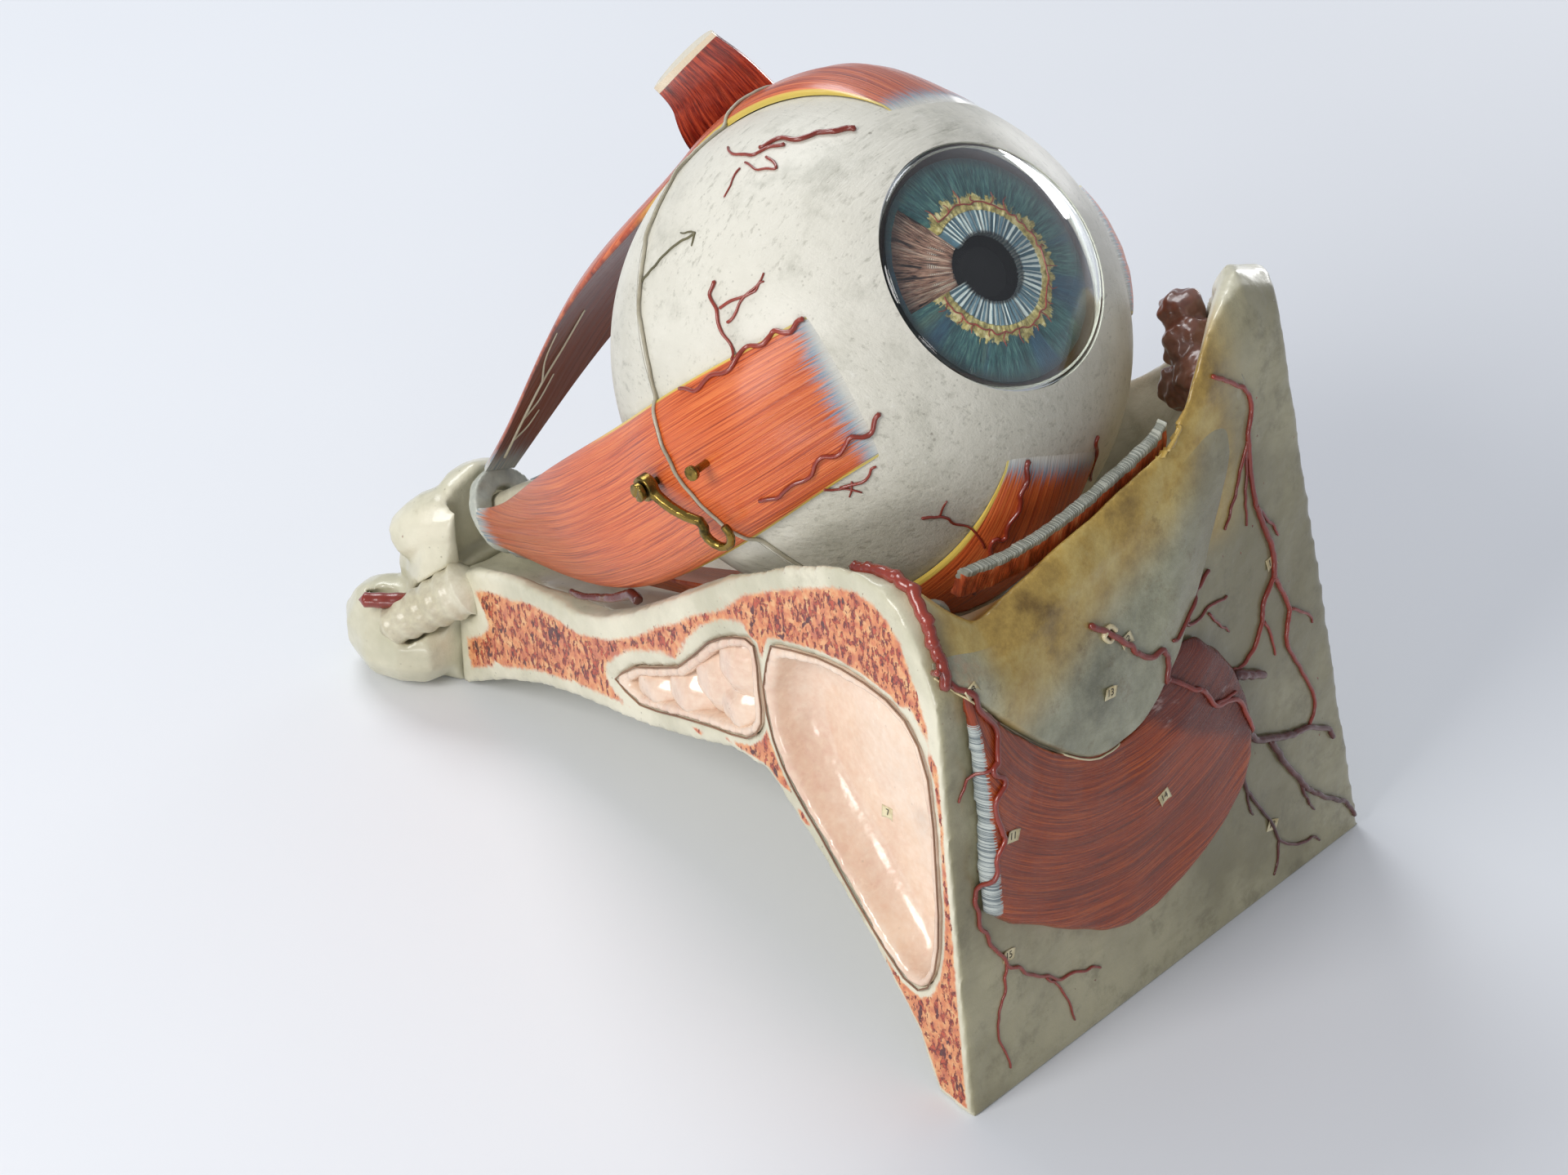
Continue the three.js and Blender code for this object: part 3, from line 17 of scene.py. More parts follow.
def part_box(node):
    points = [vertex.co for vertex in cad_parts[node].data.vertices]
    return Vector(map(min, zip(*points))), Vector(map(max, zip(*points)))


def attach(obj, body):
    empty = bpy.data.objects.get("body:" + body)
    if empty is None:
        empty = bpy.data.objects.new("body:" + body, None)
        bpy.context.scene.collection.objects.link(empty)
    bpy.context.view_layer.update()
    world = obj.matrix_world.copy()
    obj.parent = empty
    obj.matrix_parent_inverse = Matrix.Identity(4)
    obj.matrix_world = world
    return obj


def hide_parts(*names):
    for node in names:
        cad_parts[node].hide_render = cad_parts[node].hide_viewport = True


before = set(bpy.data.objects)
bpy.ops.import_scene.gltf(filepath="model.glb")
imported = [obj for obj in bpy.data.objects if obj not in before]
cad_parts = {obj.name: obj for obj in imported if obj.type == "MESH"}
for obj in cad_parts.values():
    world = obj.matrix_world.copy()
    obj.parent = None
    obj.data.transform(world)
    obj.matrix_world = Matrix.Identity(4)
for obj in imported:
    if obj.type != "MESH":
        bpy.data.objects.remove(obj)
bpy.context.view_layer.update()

# The frame in millimetres: the eyeball stands over the support peg
peg_low, peg_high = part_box("support_peg")
HOME = np.array([(peg_low.x + peg_high.x) * 500, (peg_low.y + peg_high.y) * 500, 0])
CENTRE = np.array([0, 0, 140.0])
GLOBE_R = 65.0
GAZE = np.array(Matrix.Rotation(math.radians(-3), 3, "Z") @ Matrix.Rotation(math.radians(45), 3, "X"))
SECTION_YAW = math.radians(9.1)
FOREHEAD_Y = -106.5
SECTION_CORNER = np.array([-78, FOREHEAD_Y, 0])
INTO_BONE = np.array([math.cos(SECTION_YAW), -math.sin(SECTION_YAW), 0])
ALONG_SECTION = np.array([math.sin(SECTION_YAW), math.cos(SECTION_YAW), 0])
FOREHEAD_LEAN = math.radians(8.8)
FOREHEAD_OUT = np.array([0, -math.cos(FOREHEAD_LEAN), math.sin(FOREHEAD_LEAN)])
random.seed(11)


def metres(points):
    return (np.asarray(points, float) + HOME) / 1000


def millimetres(points):
    return np.asarray(points, float) * 1000 - HOME


def from_globe(local):
    return np.asarray(local, float) @ GAZE.T + CENTRE


def to_globe(points):
    return (np.asarray(points, float) - CENTRE) @ GAZE


def on_globe(angle, azimuth, r=1.0):
    a, b = math.radians(angle), math.radians(azimuth)
    return np.array([math.sin(a) * math.cos(b), math.sin(a) * math.sin(b), math.cos(a)]) * r


def forehead_y(z):
    return FOREHEAD_Y + z * math.tan(FOREHEAD_LEAN)


def smooth(x, low=0.0, high=1.0):
    t = np.clip((np.asarray(x, float) - low) / (high - low), 0, 1)
    return t * t * (3 - 2 * t)


# Camera, floor and light


def look_from(eye, direction, name, maker):
    obj = bpy.data.objects.new(name, maker)
    bpy.context.scene.collection.objects.link(obj)
    obj.location = eye
    obj.rotation_euler = Vector(direction).to_track_quat("-Z", "Y").to_euler()
    return obj


CAMERA_AZIMUTH = math.radians(-46.6)
CAMERA_ELEVATION = math.radians(35)
CAMERA_PLACE = (-585.4, -523.6, 616.5)
PICTURE_WIDTH, PICTURE_HEIGHT, FOCAL_PIXELS = 1920, 1439, 4500
camera_data = bpy.data.cameras.new("camera")
camera_data.sensor_width = 36
camera_data.lens = FOCAL_PIXELS / PICTURE_WIDTH * camera_data.sensor_width
camera_data.clip_start = 0.05
camera_away = (
    math.sin(CAMERA_AZIMUTH) * math.cos(CAMERA_ELEVATION),
    -math.cos(CAMERA_AZIMUTH) * math.cos(CAMERA_ELEVATION),
    math.sin(CAMERA_ELEVATION),
)
camera = look_from(metres(CAMERA_PLACE), [-k for k in camera_away], "camera", camera_data)
bpy.context.scene.camera = camera


def area_light(name, place, target, size, power, colour=(1, 1, 1)):
    data = bpy.data.lights.new(name, "AREA")
    data.shape = "ELLIPSE"
    data.size, data.size_y = size
    data.energy = power
    data.color = colour
    direction = Vector(target) - Vector(place)
    return look_from(place, direction, name, data)


area_light("key", (-1.05, 0.05, 0.8), (0, 0, 0.1), (0.6, 0.6), 9.5, (1, 0.99, 0.97))
area_light("top", (0.25, 0.85, 1.05), (0, 0, 0.1), (0.7, 0.5), 7.0, (0.95, 0.98, 1))
area_light("front_fill", (-1.15, -0.75, 0.12), (0, 0, 0.1), (0.45, 0.4), 3.0)
area_light("rim", (1.15, 0.3, 0.16), (0, 0, 0.14), (0.5, 0.2), 2.2)

world = bpy.data.worlds.new("world")
bpy.context.scene.world = world
world.use_nodes = True
background = world.node_tree.nodes["Background"].inputs
background["Color"].default_value = (0.86, 0.9, 1, 1)
background["Strength"].default_value = 0.4
bpy.context.scene.view_settings.view_transform = "Standard"


# Materials


def srgb(r, g, b):
    def linear(c):
        c /= 255
        return c / 12.92 if c <= 0.04045 else ((c + 0.055) / 1.055) ** 2.4

    return (linear(r), linear(g), linear(b), 1.0)


class Level:
    """Output of a material's node, for use in sums and products."""

    def __init__(self, finish, socket):
        self.finish, self.socket = finish, socket

    def __add__(self, other):
        return self.finish.calc("ADD", self, other)

    def __sub__(self, other):
        return self.finish.calc("SUBTRACT", self, other)

    def __mul__(self, other):
        return self.finish.calc("MULTIPLY", self, other)


class Finish:
    """One material, whose colour is laid on coat by coat. Colours are sRGB triples of 0 to 255."""

    def __init__(self, name, **shader):
        self.material = bpy.data.materials.new(name)
        self.material.use_nodes = True
        self.tree = self.material.node_tree
        self.shader = self.tree.nodes["Principled BSDF"]
        for socket, value in shader.items():
            self.shader.inputs[socket.replace("_", " ")].default_value = value
        self.here = self.node("TexCoord", output="Object")
        self.colour = None

    def node(self, kind, inputs=(), output=0, **props):
        node = self.tree.nodes.new("ShaderNode" + kind)
        for key, value in props.items():
            setattr(node, key, value)
        for key, value in dict(inputs).items():
            if isinstance(value, Level):
                self.tree.links.new(value.socket, node.inputs[key])
            else:
                node.inputs[key].default_value = value
        return Level(self, node.outputs[output])

    def attribute(self, name):
        return self.node("Attribute", output="Fac", attribute_name=name)

    def calc(self, operation, a, b=0.0):
        return self.node("Math", {0: a, 1: b}, operation=operation)

    def within(self, value, low, high):
        """0 below low and 1 above high, or the other way round where high is the lower one."""
        inputs = {0: value, 1: low, 2: high, 3: 0.0, 4: 1.0}
        return self.node("MapRange", inputs, interpolation_type="SMOOTHSTEP")

    def vector(self, x=0.0, y=0.0, z=0.0):
        return self.node("CombineXYZ", {0: x, 1: y, 2: z})

    def turned(self, scale, turn=(0, 0, 0)):
        rotation = [math.radians(k) for k in turn]
        return self.node("Mapping", {"Vector": self.here, "Scale": scale, "Rotation": rotation})

    def noise(self, scale, detail=4.0, rough=0.6, vector=None):
        inputs = {"Vector": vector or self.here, "Scale": scale, "Detail": detail, "Roughness": rough}
        return self.node("TexNoise", inputs, "Fac")

    def patches(self, scale, detail, rough, low, high, vector=None):
        return self.within(self.noise(scale, detail, rough, vector), low, high)

    def specks(self, grain, low, high):
        cells = self.node("TexVoronoi", {"Vector": self.here, "Scale": grain}, "Distance")
        return self.within(cells, low, high)

    def ramp(self, value, stops):
        node = self.tree.nodes.new("ShaderNodeValToRGB")
        self.tree.links.new(value.socket, node.inputs[0])
        elements = node.color_ramp.elements
        while len(elements) < len(stops):
            elements.new(0.5)
        for element, (place, colour) in zip(elements, stops.items()):
            element.position = place
            element.color = srgb(*colour)
        return Level(self, node.outputs[0])

    def mix(self, share, a, b, blend="MIX"):
        a, b = (c if isinstance(c, Level) else srgb(*c) for c in (a, b))
        return self.node("Mix", {0: share, 6: a, 7: b}, 2, data_type="RGBA", blend_type=blend)

    def lay(self, mask, colour, share=None, over=None, blend="MIX"):
        """Lays a colour where the mask is high, over the one that is there or the one given."""
        mask = mask if share is None else mask * share
        self.colour = self.mix(mask, over or self.colour, colour, blend)

    def done(self, gloss, *reliefs):
        """The material with its roughness and bumps, each a height and its depth in millimetres."""
        normal = None
        for height, depth in reliefs:
            below = {"Normal": normal} if normal else {}
            normal = self.node("Bump", {"Height": height, "Distance": depth / 1000, "Strength": 1.0, **below})
        for socket, value in (("Base Color", self.colour), ("Roughness", gloss), ("Normal", normal)):
            if value is not None:
                self.tree.links.new(value.socket, self.shader.inputs[socket])
        return self.material


def varnished(name, base, spots, roughness=0.3, grain=350, dirt=0.35, coat=0.35, unevenness=0.25):
    """Hand-painted papier-mache under varnish: base colour, mottling, specks and brush-laid gloss."""
    f = Finish(name, Coat_Weight=coat, Coat_Roughness=0.12)
    f.lay(f.patches(28, 5, 0.62, 0.35, 0.7), spots, over=base)
    f.lay(f.specks(grain, 0.16, 0.05) * f.patches(90, 3, 0.6, 0.55, 0.66), (60, 50, 38), dirt)
    fine = f.noise(grain * 1.6, 3)
    f.lay(0.12, f.ramp(fine, {0.3: (40, 36, 28), 0.7: (255, 250, 235)}), blend="OVERLAY")
    gloss = f.noise(60, 4) * 0.3 + (roughness - 0.13)
    return f.done(gloss, (f.noise(45, 4, 0.55), unevenness * 4), (fine, 0.06))


def sclera_paint():
    """Warm white laid on in fine strokes, greyed and flecked with age, under a thin varnish."""
    f = Finish("sclera_paint", Coat_Weight=0.25, Coat_Roughness=0.32)
    strokes_a = f.noise(1, 6, 0.72, f.turned((80, 620, 460), (20, 30, 40)))
    strokes_b = f.noise(1, 6, 0.72, f.turned((560, 70, 500), (0, 40, -35)))
    strokes = f.mix(f.patches(14, 2, 0.6, 0.42, 0.58), f.vector(strokes_a), f.vector(strokes_b))
    stroke = f.node("SeparateXYZ", {0: strokes})
    f.lay(f.patches(14, 5, 0.6, 0.4, 0.7), (198, 194, 178), over=(222, 218, 204))
    f.lay(f.patches(48, 6, 0.72, 0.5, 0.72), (166, 164, 148), 0.55)
    f.lay(f.within(stroke, 0.56, 0.8), (234, 231, 221), 0.7)
    f.lay(f.within(stroke, 0.46, 0.34), (132, 129, 112), 0.4)
    f.lay(f.specks(520, 0.2, 0.08) * f.patches(70, 4, 0.6, 0.46, 0.6), (96, 90, 74), 0.3)
    f.lay(f.specks(150, 0.09, 0.05) * f.patches(33, 3, 0.6, 0.52, 0.6), (84, 70, 48), 0.5)
    return f.done(f.noise(70, 4) * 0.25 + 0.32, (stroke, 0.4), (f.noise(26, 3), 1.0))


TENDON_LENGTH = 9.0


def muscle_paint(name, light, middle, dark, fibre=1.0, coat=0.35, inner_shade=0.0):
    """Painted fibres along the strap, with a short feathered tendon in front and a longer one at the root,
    and where asked a near-black painted shade on the strap's inner face, toward the ball.
    """
    f = Finish(name, Coat_Weight=coat, Coat_Roughness=0.2)
    along, share = f.attribute("along"), f.attribute("share")
    line = f.vector(f.attribute("across") + (f.noise(22, 2) - 0.5) * 1.2, along * 0.008)
    thin = f.noise(2.6 * fibre, 4, 0.72, line)
    thick = f.noise(0.5 * fibre, 3, 0.6, line)
    f.colour = f.ramp(thin, {0.34: dark, 0.47: middle, 0.6: light})
    f.lay(f.within(thick, 0.52, 0.74), dark, 0.4)
    f.lay(f.patches(4.2, 5, 0.8, 0.64, 0.78, line), (244, 190, 140), 0.4)
    f.lay(f.specks(480, 0.16, 0.06) * f.patches(60, 3, 0.6, 0.5, 0.6), dark, 0.5)
    f.lay(f.within(share, 0.4, 0.9), (132, 66, 36), 0.5)
    # painted shade: the inner face, between the strap and the ball, laid near-black
    if inner_shade:
        f.lay(f.attribute("inside"), f.mix(thin, (34, 10, 6), (112, 40, 22)), inner_shade)
    feather = f.noise(2.4, 3, 0.7, line)
    streak = (feather - 0.5) * 22
    silver = f.ramp(feather, {0.4: (104, 130, 156), 0.52: (164, 180, 188), 0.64: (222, 220, 208)})
    silver = f.mix(f.within(along + streak * 0.3, 5.5, 1.5), silver, (214, 211, 199))
    f.lay(f.within(along + streak, TENDON_LENGTH, TENDON_LENGTH - 5), silver)
    root = f.ramp(feather, {0.4: (120, 138, 150), 0.6: (206, 206, 194)})
    f.lay(f.within(f.attribute("left") + streak, 16, 6), root)
    edge = f.within(f.attribute("edge"), 0.955, 0.98) * f.within(share, 0.5, 0.4)
    f.lay(edge, (222, 200, 92), 0.85)
    return f.done(thin * 0.3 + 0.22, (thin, 0.22), (thick, 0.6))


def stump_paint():
    """Streaked dark red muscle that ends in a glossy cream cap."""
    f = Finish("stump_paint", Coat_Weight=0.6, Coat_Roughness=0.16)
    line = f.vector(f.attribute("across") + (f.noise(26, 3) - 0.5) * 3, f.attribute("along") * 0.03)
    thin = f.noise(1.5, 5, 0.75, line)
    f.colour = f.ramp(thin, {0.32: (70, 12, 6), 0.46: (138, 34, 18), 0.6: (196, 78, 44)})
    f.lay(f.patches(0.34, 3, 0.6, 0.5, 0.62, line), (72, 14, 8), 0.6)
    cap = f.mix(f.patches(60, 6, 0.8, 0.55, 0.7), (232, 220, 190), (196, 188, 168))
    f.lay(f.within(f.attribute("cap") + (f.noise(90, 4) - 0.5) * 0.6, 0.4, 0.6), cap)
    return f.done(thin * 0.25 + 0.18, (thin, 0.3), (f.noise(40, 4), 0.8))


def round_the_pupil(f, stretch):
    """Radius, turn, and a place for rays that meet themselves after one turn."""
    r, turn = f.attribute("radial"), f.attribute("turn")
    return r, turn, f.vector(f.calc("COSINE", turn) * 9, f.calc("SINE", turn) * 9, r * stretch)


def iris_paint():
    """Streaked blue-green outside, a jagged ochre ring, pale rays inside it."""
    f = Finish("iris_paint", Roughness=0.42)
    r, turn, around = round_the_pupil(f, 1.1)
    rays = f.noise(4.2, 5, 0.72, around)
    broad = f.noise(0.5, 3, 0.6, around)
    teal = {0.34: (16, 44, 50), 0.47: (38, 80, 84), 0.58: (64, 108, 104), 0.7: (112, 146, 132)}
    f.colour = f.ramp(rays, teal)
    blue = f.patches(0.22, 2, 0.5, 0.5, 0.62, around)
    f.lay(blue, f.mix(rays, (8, 26, 52), (52, 96, 128)), 0.75)
    f.lay(f.within(broad, 0.55, 0.7), (92, 108, 84), 0.35)
    f.lay(f.within(r + (rays - 0.5) * 0.3, 0.86, 1.0), (20, 30, 32), 0.75)
    wave = f.calc("SINE", turn * 62 + broad * 9)
    under = f.mix(broad, (34, 74, 98), (104, 134, 142))
    white = f.mix(rays, (160, 176, 176), (238, 240, 232))
    inner = f.mix(f.within(wave + (rays - 0.5) * 2.4, 0.1, 0.5), under, white)
    f.lay(f.within(r, 0.3, 0.315), f.colour, over=inner)
    ring = f.calc("SUBTRACT", 1.0, f.calc("DIVIDE", f.calc("ABSOLUTE", r - 0.4), 0.115))
    loose = ((f.noise(330, 3) - 0.5) + (f.noise(1.6, 4, 0.8, around) - 0.5)) * 3.4 * f.within(r, 0.34, 0.44)
    ochre = f.within(ring + loose, 0.1, 0.24) * f.within(r, 0.29, 0.3)
    sand = {0.36: (128, 112, 58), 0.5: (186, 170, 100), 0.64: (222, 210, 158)}
    f.lay(ochre, f.ramp(f.noise(520, 4, 0.7), sand))
    f.lay(f.within(r, 0.05, 0.015), (24, 24, 22), 0.85)
    return f.done(None, (rays, 0.35), (ochre, 0.25))


def fan_paint():
    """Pinkish brown radial folds with dark grooves and short pale ladders near the pupil."""
    f = Finish("fan_paint", Roughness=0.5)
    r, _, around = round_the_pupil(f, 0.7)
    rays = f.noise(7.5, 4, 0.7, around)
    bands = f.noise(1.6, 3, 0.6, around)
    f.colour = f.ramp(rays, {0.34: (58, 34, 26), 0.45: (142, 100, 82), 0.6: (206, 164, 140)})
    f.lay(f.within(bands, 0.5, 0.66), (224, 204, 184), 0.5)
    f.lay(f.within(bands, 0.42, 0.36), (44, 28, 24))
    ladder = f.within(f.calc("SINE", r * 210), 0.0, 0.4)
    near = f.within(r, 0.42, 0.3) * f.patches(2.4, 2, 0.5, 0.54, 0.6, around)
    f.lay(ladder * near, (236, 228, 212))
    f.lay(f.within(r, 0.6, 1.0), (70, 46, 38), 0.6)
    return f.done(None, (rays, 0.3))


def clear_glass():
    """Thin blown glass that lets the light through to what lies under it."""
    tint = (0.97, 0.99, 0.99, 1)
    f = Finish("clear_glass", Base_Color=tint, Roughness=0.02, IOR=1.48, Transmission_Weight=1.0)
    shadow = f.node("LightPath", output="Is Shadow Ray")
    clear = f.node("BsdfTransparent", {0: (0.93, 0.96, 0.96, 1)})
    both = f.node("MixShader", {0: shadow, 1: Level(f, f.shader.outputs[0]), 2: clear})
    f.tree.links.new(both.socket, f.tree.nodes["Material Output"].inputs[0])
    return f.done(None, (f.noise(14, 2), 0.25))


def smoked_glass():
    """The lens: glass painted near-black, a painted shade that stands for the dark inside of the eyeball seen
    through the pupil.
    """
    f = Finish("smoked_glass", Roughness=0.5, IOR=1.35, Specular_IOR_Level=0.25)
    # painted shade: near-black base colour in place of the dark inside seen through the pupil
    f.lay(f.noise(60, 3), (18, 16, 15), over=(9, 8, 8))
    return f.done(None, (f.noise(20, 2), 0.1))


def khaki_skin(f):
    skin = f.mix(f.patches(11, 6, 0.65, 0.38, 0.62), (178, 170, 136), (134, 126, 94))
    return f.mix(f.patches(80, 6, 0.75, 0.5, 0.7) * 0.5, skin, (104, 96, 68))


def ochre_skin(f, cloud):
    return f.ramp(cloud, {0.32: (120, 92, 34), 0.5: (180, 148, 72), 0.68: (206, 184, 114)})


def bone_paint():
    """Ivory and khaki paint, and on the cut face an ivory rind round open red marrow."""
    f = Finish("bone_paint", Coat_Weight=0.45, Coat_Roughness=0.14)
    f.lay(f.patches(24, 5, 0.62, 0.36, 0.68), (190, 186, 160), over=(224, 218, 194))
    f.lay(f.patches(40, 6, 0.7, 0.54, 0.74), (150, 144, 116), 0.5)
    f.lay(f.specks(430, 0.18, 0.07) * f.patches(60, 4, 0.6, 0.5, 0.62), (96, 88, 62), 0.5)
    brush = f.noise(1, 5, 0.7, f.turned((60, 300, 420), (0, 0, 12)))
    f.lay(f.attribute("panel"), f.mix(f.within(brush, 0.5, 0.74) * 0.14, khaki_skin(f), (112, 104, 76)))
    f.lay(f.attribute("brow"), ochre_skin(f, f.noise(46, 6, 0.72)))
    marrow = f.attribute("marrow")
    fine = f.noise(700, 3, 0.7)
    wash = f.ramp(f.noise(300, 3), {0.35: (190, 82, 36), 0.5: (218, 124, 62), 0.68: (232, 172, 112)})
    f.lay(f.within(marrow + (fine - 0.5) * 0.9, 0.1, 0.75), wash, 0.9)
    holes = f.noise(1, 3, 0.6, f.turned((620, 620, 330)))
    deep = f.within(holes + (marrow - 1.0) * 0.22, 0.505, 0.56)
    f.lay(deep, f.mix(f.within(fine, 0.42, 0.6), (112, 22, 12), (188, 74, 38)))
    pits = f.noise(1, 2, 0.5, f.turned((380, 380, 230)))
    f.lay(f.within(pits + (marrow - 1.0) * 0.3, 0.62, 0.67), (86, 18, 22))
    gloss = f.noise(60, 4) * 0.3 + 0.2
    return f.done(gloss, (f.noise(36, 4), 1.2), (f.noise(190, 4, 0.7), 0.25), (deep * -1.0, 0.25))


def flap_paint():
    """Ochre skin that greys to a glossy olive tongue at its lower inner end and to khaki outside."""
    f = Finish("flap_paint", Coat_Weight=0.55, Coat_Roughness=0.12)
    tongue, cloud = f.attribute("tongue"), f.noise(46, 6, 0.72)
    olive = f.ramp(cloud, {0.3: (112, 110, 84), 0.52: (158, 156, 128), 0.74: (188, 186, 160)})
    f.lay(tongue, olive, over=ochre_skin(f, cloud))
    f.lay(f.attribute("outer"), khaki_skin(f))
    f.lay(f.patches(95, 6, 0.8, 0.54, 0.7), (108, 82, 34), 0.5)
    f.lay(f.attribute("blush") * f.patches(60, 5, 0.7, 0.42, 0.62), (206, 120, 78), 0.3)
    scratch = f.noise(1, 5, 0.7, f.turned((500, 60, 500), (0, 25, 30)))
    gloss = f.noise(60, 4) * 0.3 + 0.18
    return f.done(gloss, (f.noise(60, 5), 0.8), (f.noise(420, 4), 0.12), (scratch * tongue, 0.25))


def brow_muscle_paint():
    """Red-brown fibres round the skin flap, wine-coloured above, with pale scuffs and a comb tendon."""
    f = Finish("brow_muscle_paint", Coat_Weight=0.25, Coat_Roughness=0.16)
    line = f.vector(f.attribute("across"), f.attribute("along") * 0.03)
    thin = f.noise(1.7, 5, 0.75, line)
    f.colour = f.ramp(thin, {0.3: (76, 22, 2), 0.47: (148, 54, 8), 0.64: (192, 88, 18)})
    f.lay(f.patches(0.3, 3, 0.6, 0.5, 0.68, line), (112, 44, 18), 0.5)
    wine = f.within(f.attribute("wine") + (f.noise(40, 4) - 0.5) * 0.7, 0.35, 0.75)
    f.lay(wine, f.mix(thin, (56, 16, 14), (102, 40, 32)), 0.72)
    scuff = f.patches(1, 6, 0.75, 0.56, 0.7, f.turned((60, 60, 190), (0, 35, 0)))
    f.lay(scuff * wine, (206, 178, 170), 0.6)
    teeth = f.patches(1, 2, 0.5, 0.42, 0.58, f.turned((50, 50, 3600)))
    fringe = f.within(f.attribute("comb") + (teeth - 0.5) * 0.5, 0.45, 0.6)
    f.lay(fringe, f.mix(teeth, (112, 122, 124), (190, 196, 190)))
    return f.done(thin * 0.25 + 0.14, (thin, 0.3), (f.noise(38, 4), 1.2))


def lid_paint():
    """Pale ribbed crest over orange-red flesh."""
    f = Finish("lid_paint", Coat_Weight=0.4, Coat_Roughness=0.2)
    ribs = f.patches(1, 2, 0.5, 0.4, 0.6, f.turned((2600, 60, 60)))
    fibre = f.noise(1, 4, 0.7, f.turned((420, 420, 70)))
    f.colour = f.ramp(fibre, {0.35: (126, 40, 18), 0.55: (206, 92, 50), 0.7: (232, 150, 100)})
    f.lay(f.within(f.attribute("crest"), 0.4, 0.6), f.mix(ribs, (134, 136, 124), (176, 176, 162)))
    return f.done(fibre * 0.3 + 0.25, (ribs, 0.25))


def paper_paint():
    f = Finish("paper_paint", Roughness=0.75)
    f.lay(f.patches(260, 5, 0.7, 0.42, 0.66), (190, 172, 126), over=(226, 214, 176))
    return f.done(None, (f.noise(700, 3), 0.08))


def ink_paint():
    f = Finish("ink_paint", Roughness=0.6)
    f.lay(f.noise(500, 3), (66, 56, 42), over=(38, 32, 26))
    return f.done(None)


def old_brass():
    f = Finish("old_brass", Metallic=1.0)
    tarnish = f.patches(140, 5, 0.7, 0.4, 0.65)
    f.lay(tarnish, (70, 62, 34), over=(150, 124, 62))
    return f.done(tarnish * 0.3 + 0.22, (f.noise(400, 4), 0.08))


def floor_paint():
    f = Finish("floor_paint", Roughness=0.75)
    f.lay(f.noise(3, 3), (234, 236, 239), over=(228, 230, 234))
    return f.done(None)


STRAP_COLOURS = (228, 122, 62), (204, 88, 36), (144, 48, 18)
DARK_STRAP_COLOURS = (226, 120, 66), (184, 74, 36), (112, 34, 16)
PAINT = {
    "bone": bone_paint(),
    "sclera": sclera_paint(),
    "muscle": muscle_paint("muscle_paint", *STRAP_COLOURS, coat=0.2),
    "dark_strap": muscle_paint("dark_strap_paint", *DARK_STRAP_COLOURS, 0.8, coat=0.6, inner_shade=0.8),
    "stump": stump_paint(),
    "iris": iris_paint(),
    "fan": fan_paint(),
    "glass": clear_glass(),
    "flap": flap_paint(),
    "brow_muscle": brow_muscle_paint(),
    "brass": old_brass(),
    "lid": lid_paint(),
    "paper": paper_paint(),
    "ink": ink_paint(),
    "smoked_glass": smoked_glass(),
}
# Colour, spots, roughness, grain, dirt, coat, unevenness
for paint, look in {
    "sinus": ((238, 214, 192), (222, 190, 168), 0.24, 300, 0.4, 0.75, 0.5),
    "line": ((150, 112, 84), (116, 82, 60), 0.5, 500, 0.3, 0.2),
    "arrow": ((110, 104, 74), (78, 74, 52), 0.5, 500, 0.3, 0.2),
    "wire": ((178, 172, 152), (142, 132, 110), 0.4, 500, 0.4, 0.3),
    "cream": ((226, 212, 172), (200, 180, 134), 0.35, 400, 0.4, 0.5),
    "tendon": ((186, 188, 176), (150, 154, 146), 0.4),
    "artery": ((150, 54, 36), (112, 36, 24), 0.28, 500, 0.3, 0.6, 0.3),
    "dark_vessel": ((98, 38, 30), (66, 26, 22), 0.26, 500, 0.3, 0.7, 0.3),
    "nerve": ((214, 208, 186), (186, 178, 150), 0.4),
    "gland": ((150, 104, 84), (98, 56, 44), 0.35, 260, 0.6, 0.5, 0.8),
    "choroid": ((58, 34, 26), (38, 22, 18), 0.6, 350, 0.35, 0.0),
    "retina": ((206, 138, 84), (186, 112, 64), 0.5, 350, 0.35, 0.1),
    "ciliary": ((150, 112, 84), (96, 62, 44), 0.5, 600, 0.5, 0.1),
}.items():
    PAINT[paint] = varnished(paint + "_paint", *look)


# Making pieces


SHAPES = {}


def mesh_piece(name, points, faces, body, slot, paint, hides=(), values=None, sharp=None):
    """A piece from points in millimetres, riding on a body, with float values at its points."""
    mesh = bpy.data.meshes.new(name)
    mesh.from_pydata(metres(points).tolist(), [], [list(map(int, f)) for f in faces])
    mesh.polygons.foreach_set("use_smooth", [True] * len(mesh.polygons))
    for key, array in (values or {}).items():
        layer = mesh.attributes.new(key, "FLOAT", "POINT")
        layer.data.foreach_set("value", np.asarray(array, np.float32))
    if sharp:
        mesh.set_sharp_from_angle(angle=math.radians(sharp))
    mesh.materials.append(PAINT[paint])
    mesh.update()
    obj = bpy.data.objects.new(name, mesh)
    bpy.context.scene.collection.objects.link(obj)
    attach(obj, body)
    if hides:
        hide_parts(*hides)
    SHAPES[name] = (np.asarray(points, float), [tuple(map(int, f)) for f in faces])


def grid_faces(rows, columns, start=0, close=True):
    faces = []
    for r in range(rows - 1):
        for c in range(columns if close else columns - 1):
            a, b = start + r * columns + c, start + r * columns + (c + 1) % columns
            faces.append((a, b, b + columns, a + columns))
    return faces


def round_faces(segments, count):
    """Faces between closed sections of count points that stand all round an axis."""
    faces = []
    for s in range(segments):
        here, onwards = s * count, (s + 1) % segments * count
        for k in range(count):
            nxt = (k + 1) % count
            faces.append((here + k, here + nxt, onwards + nxt, onwards + k))
    return faces


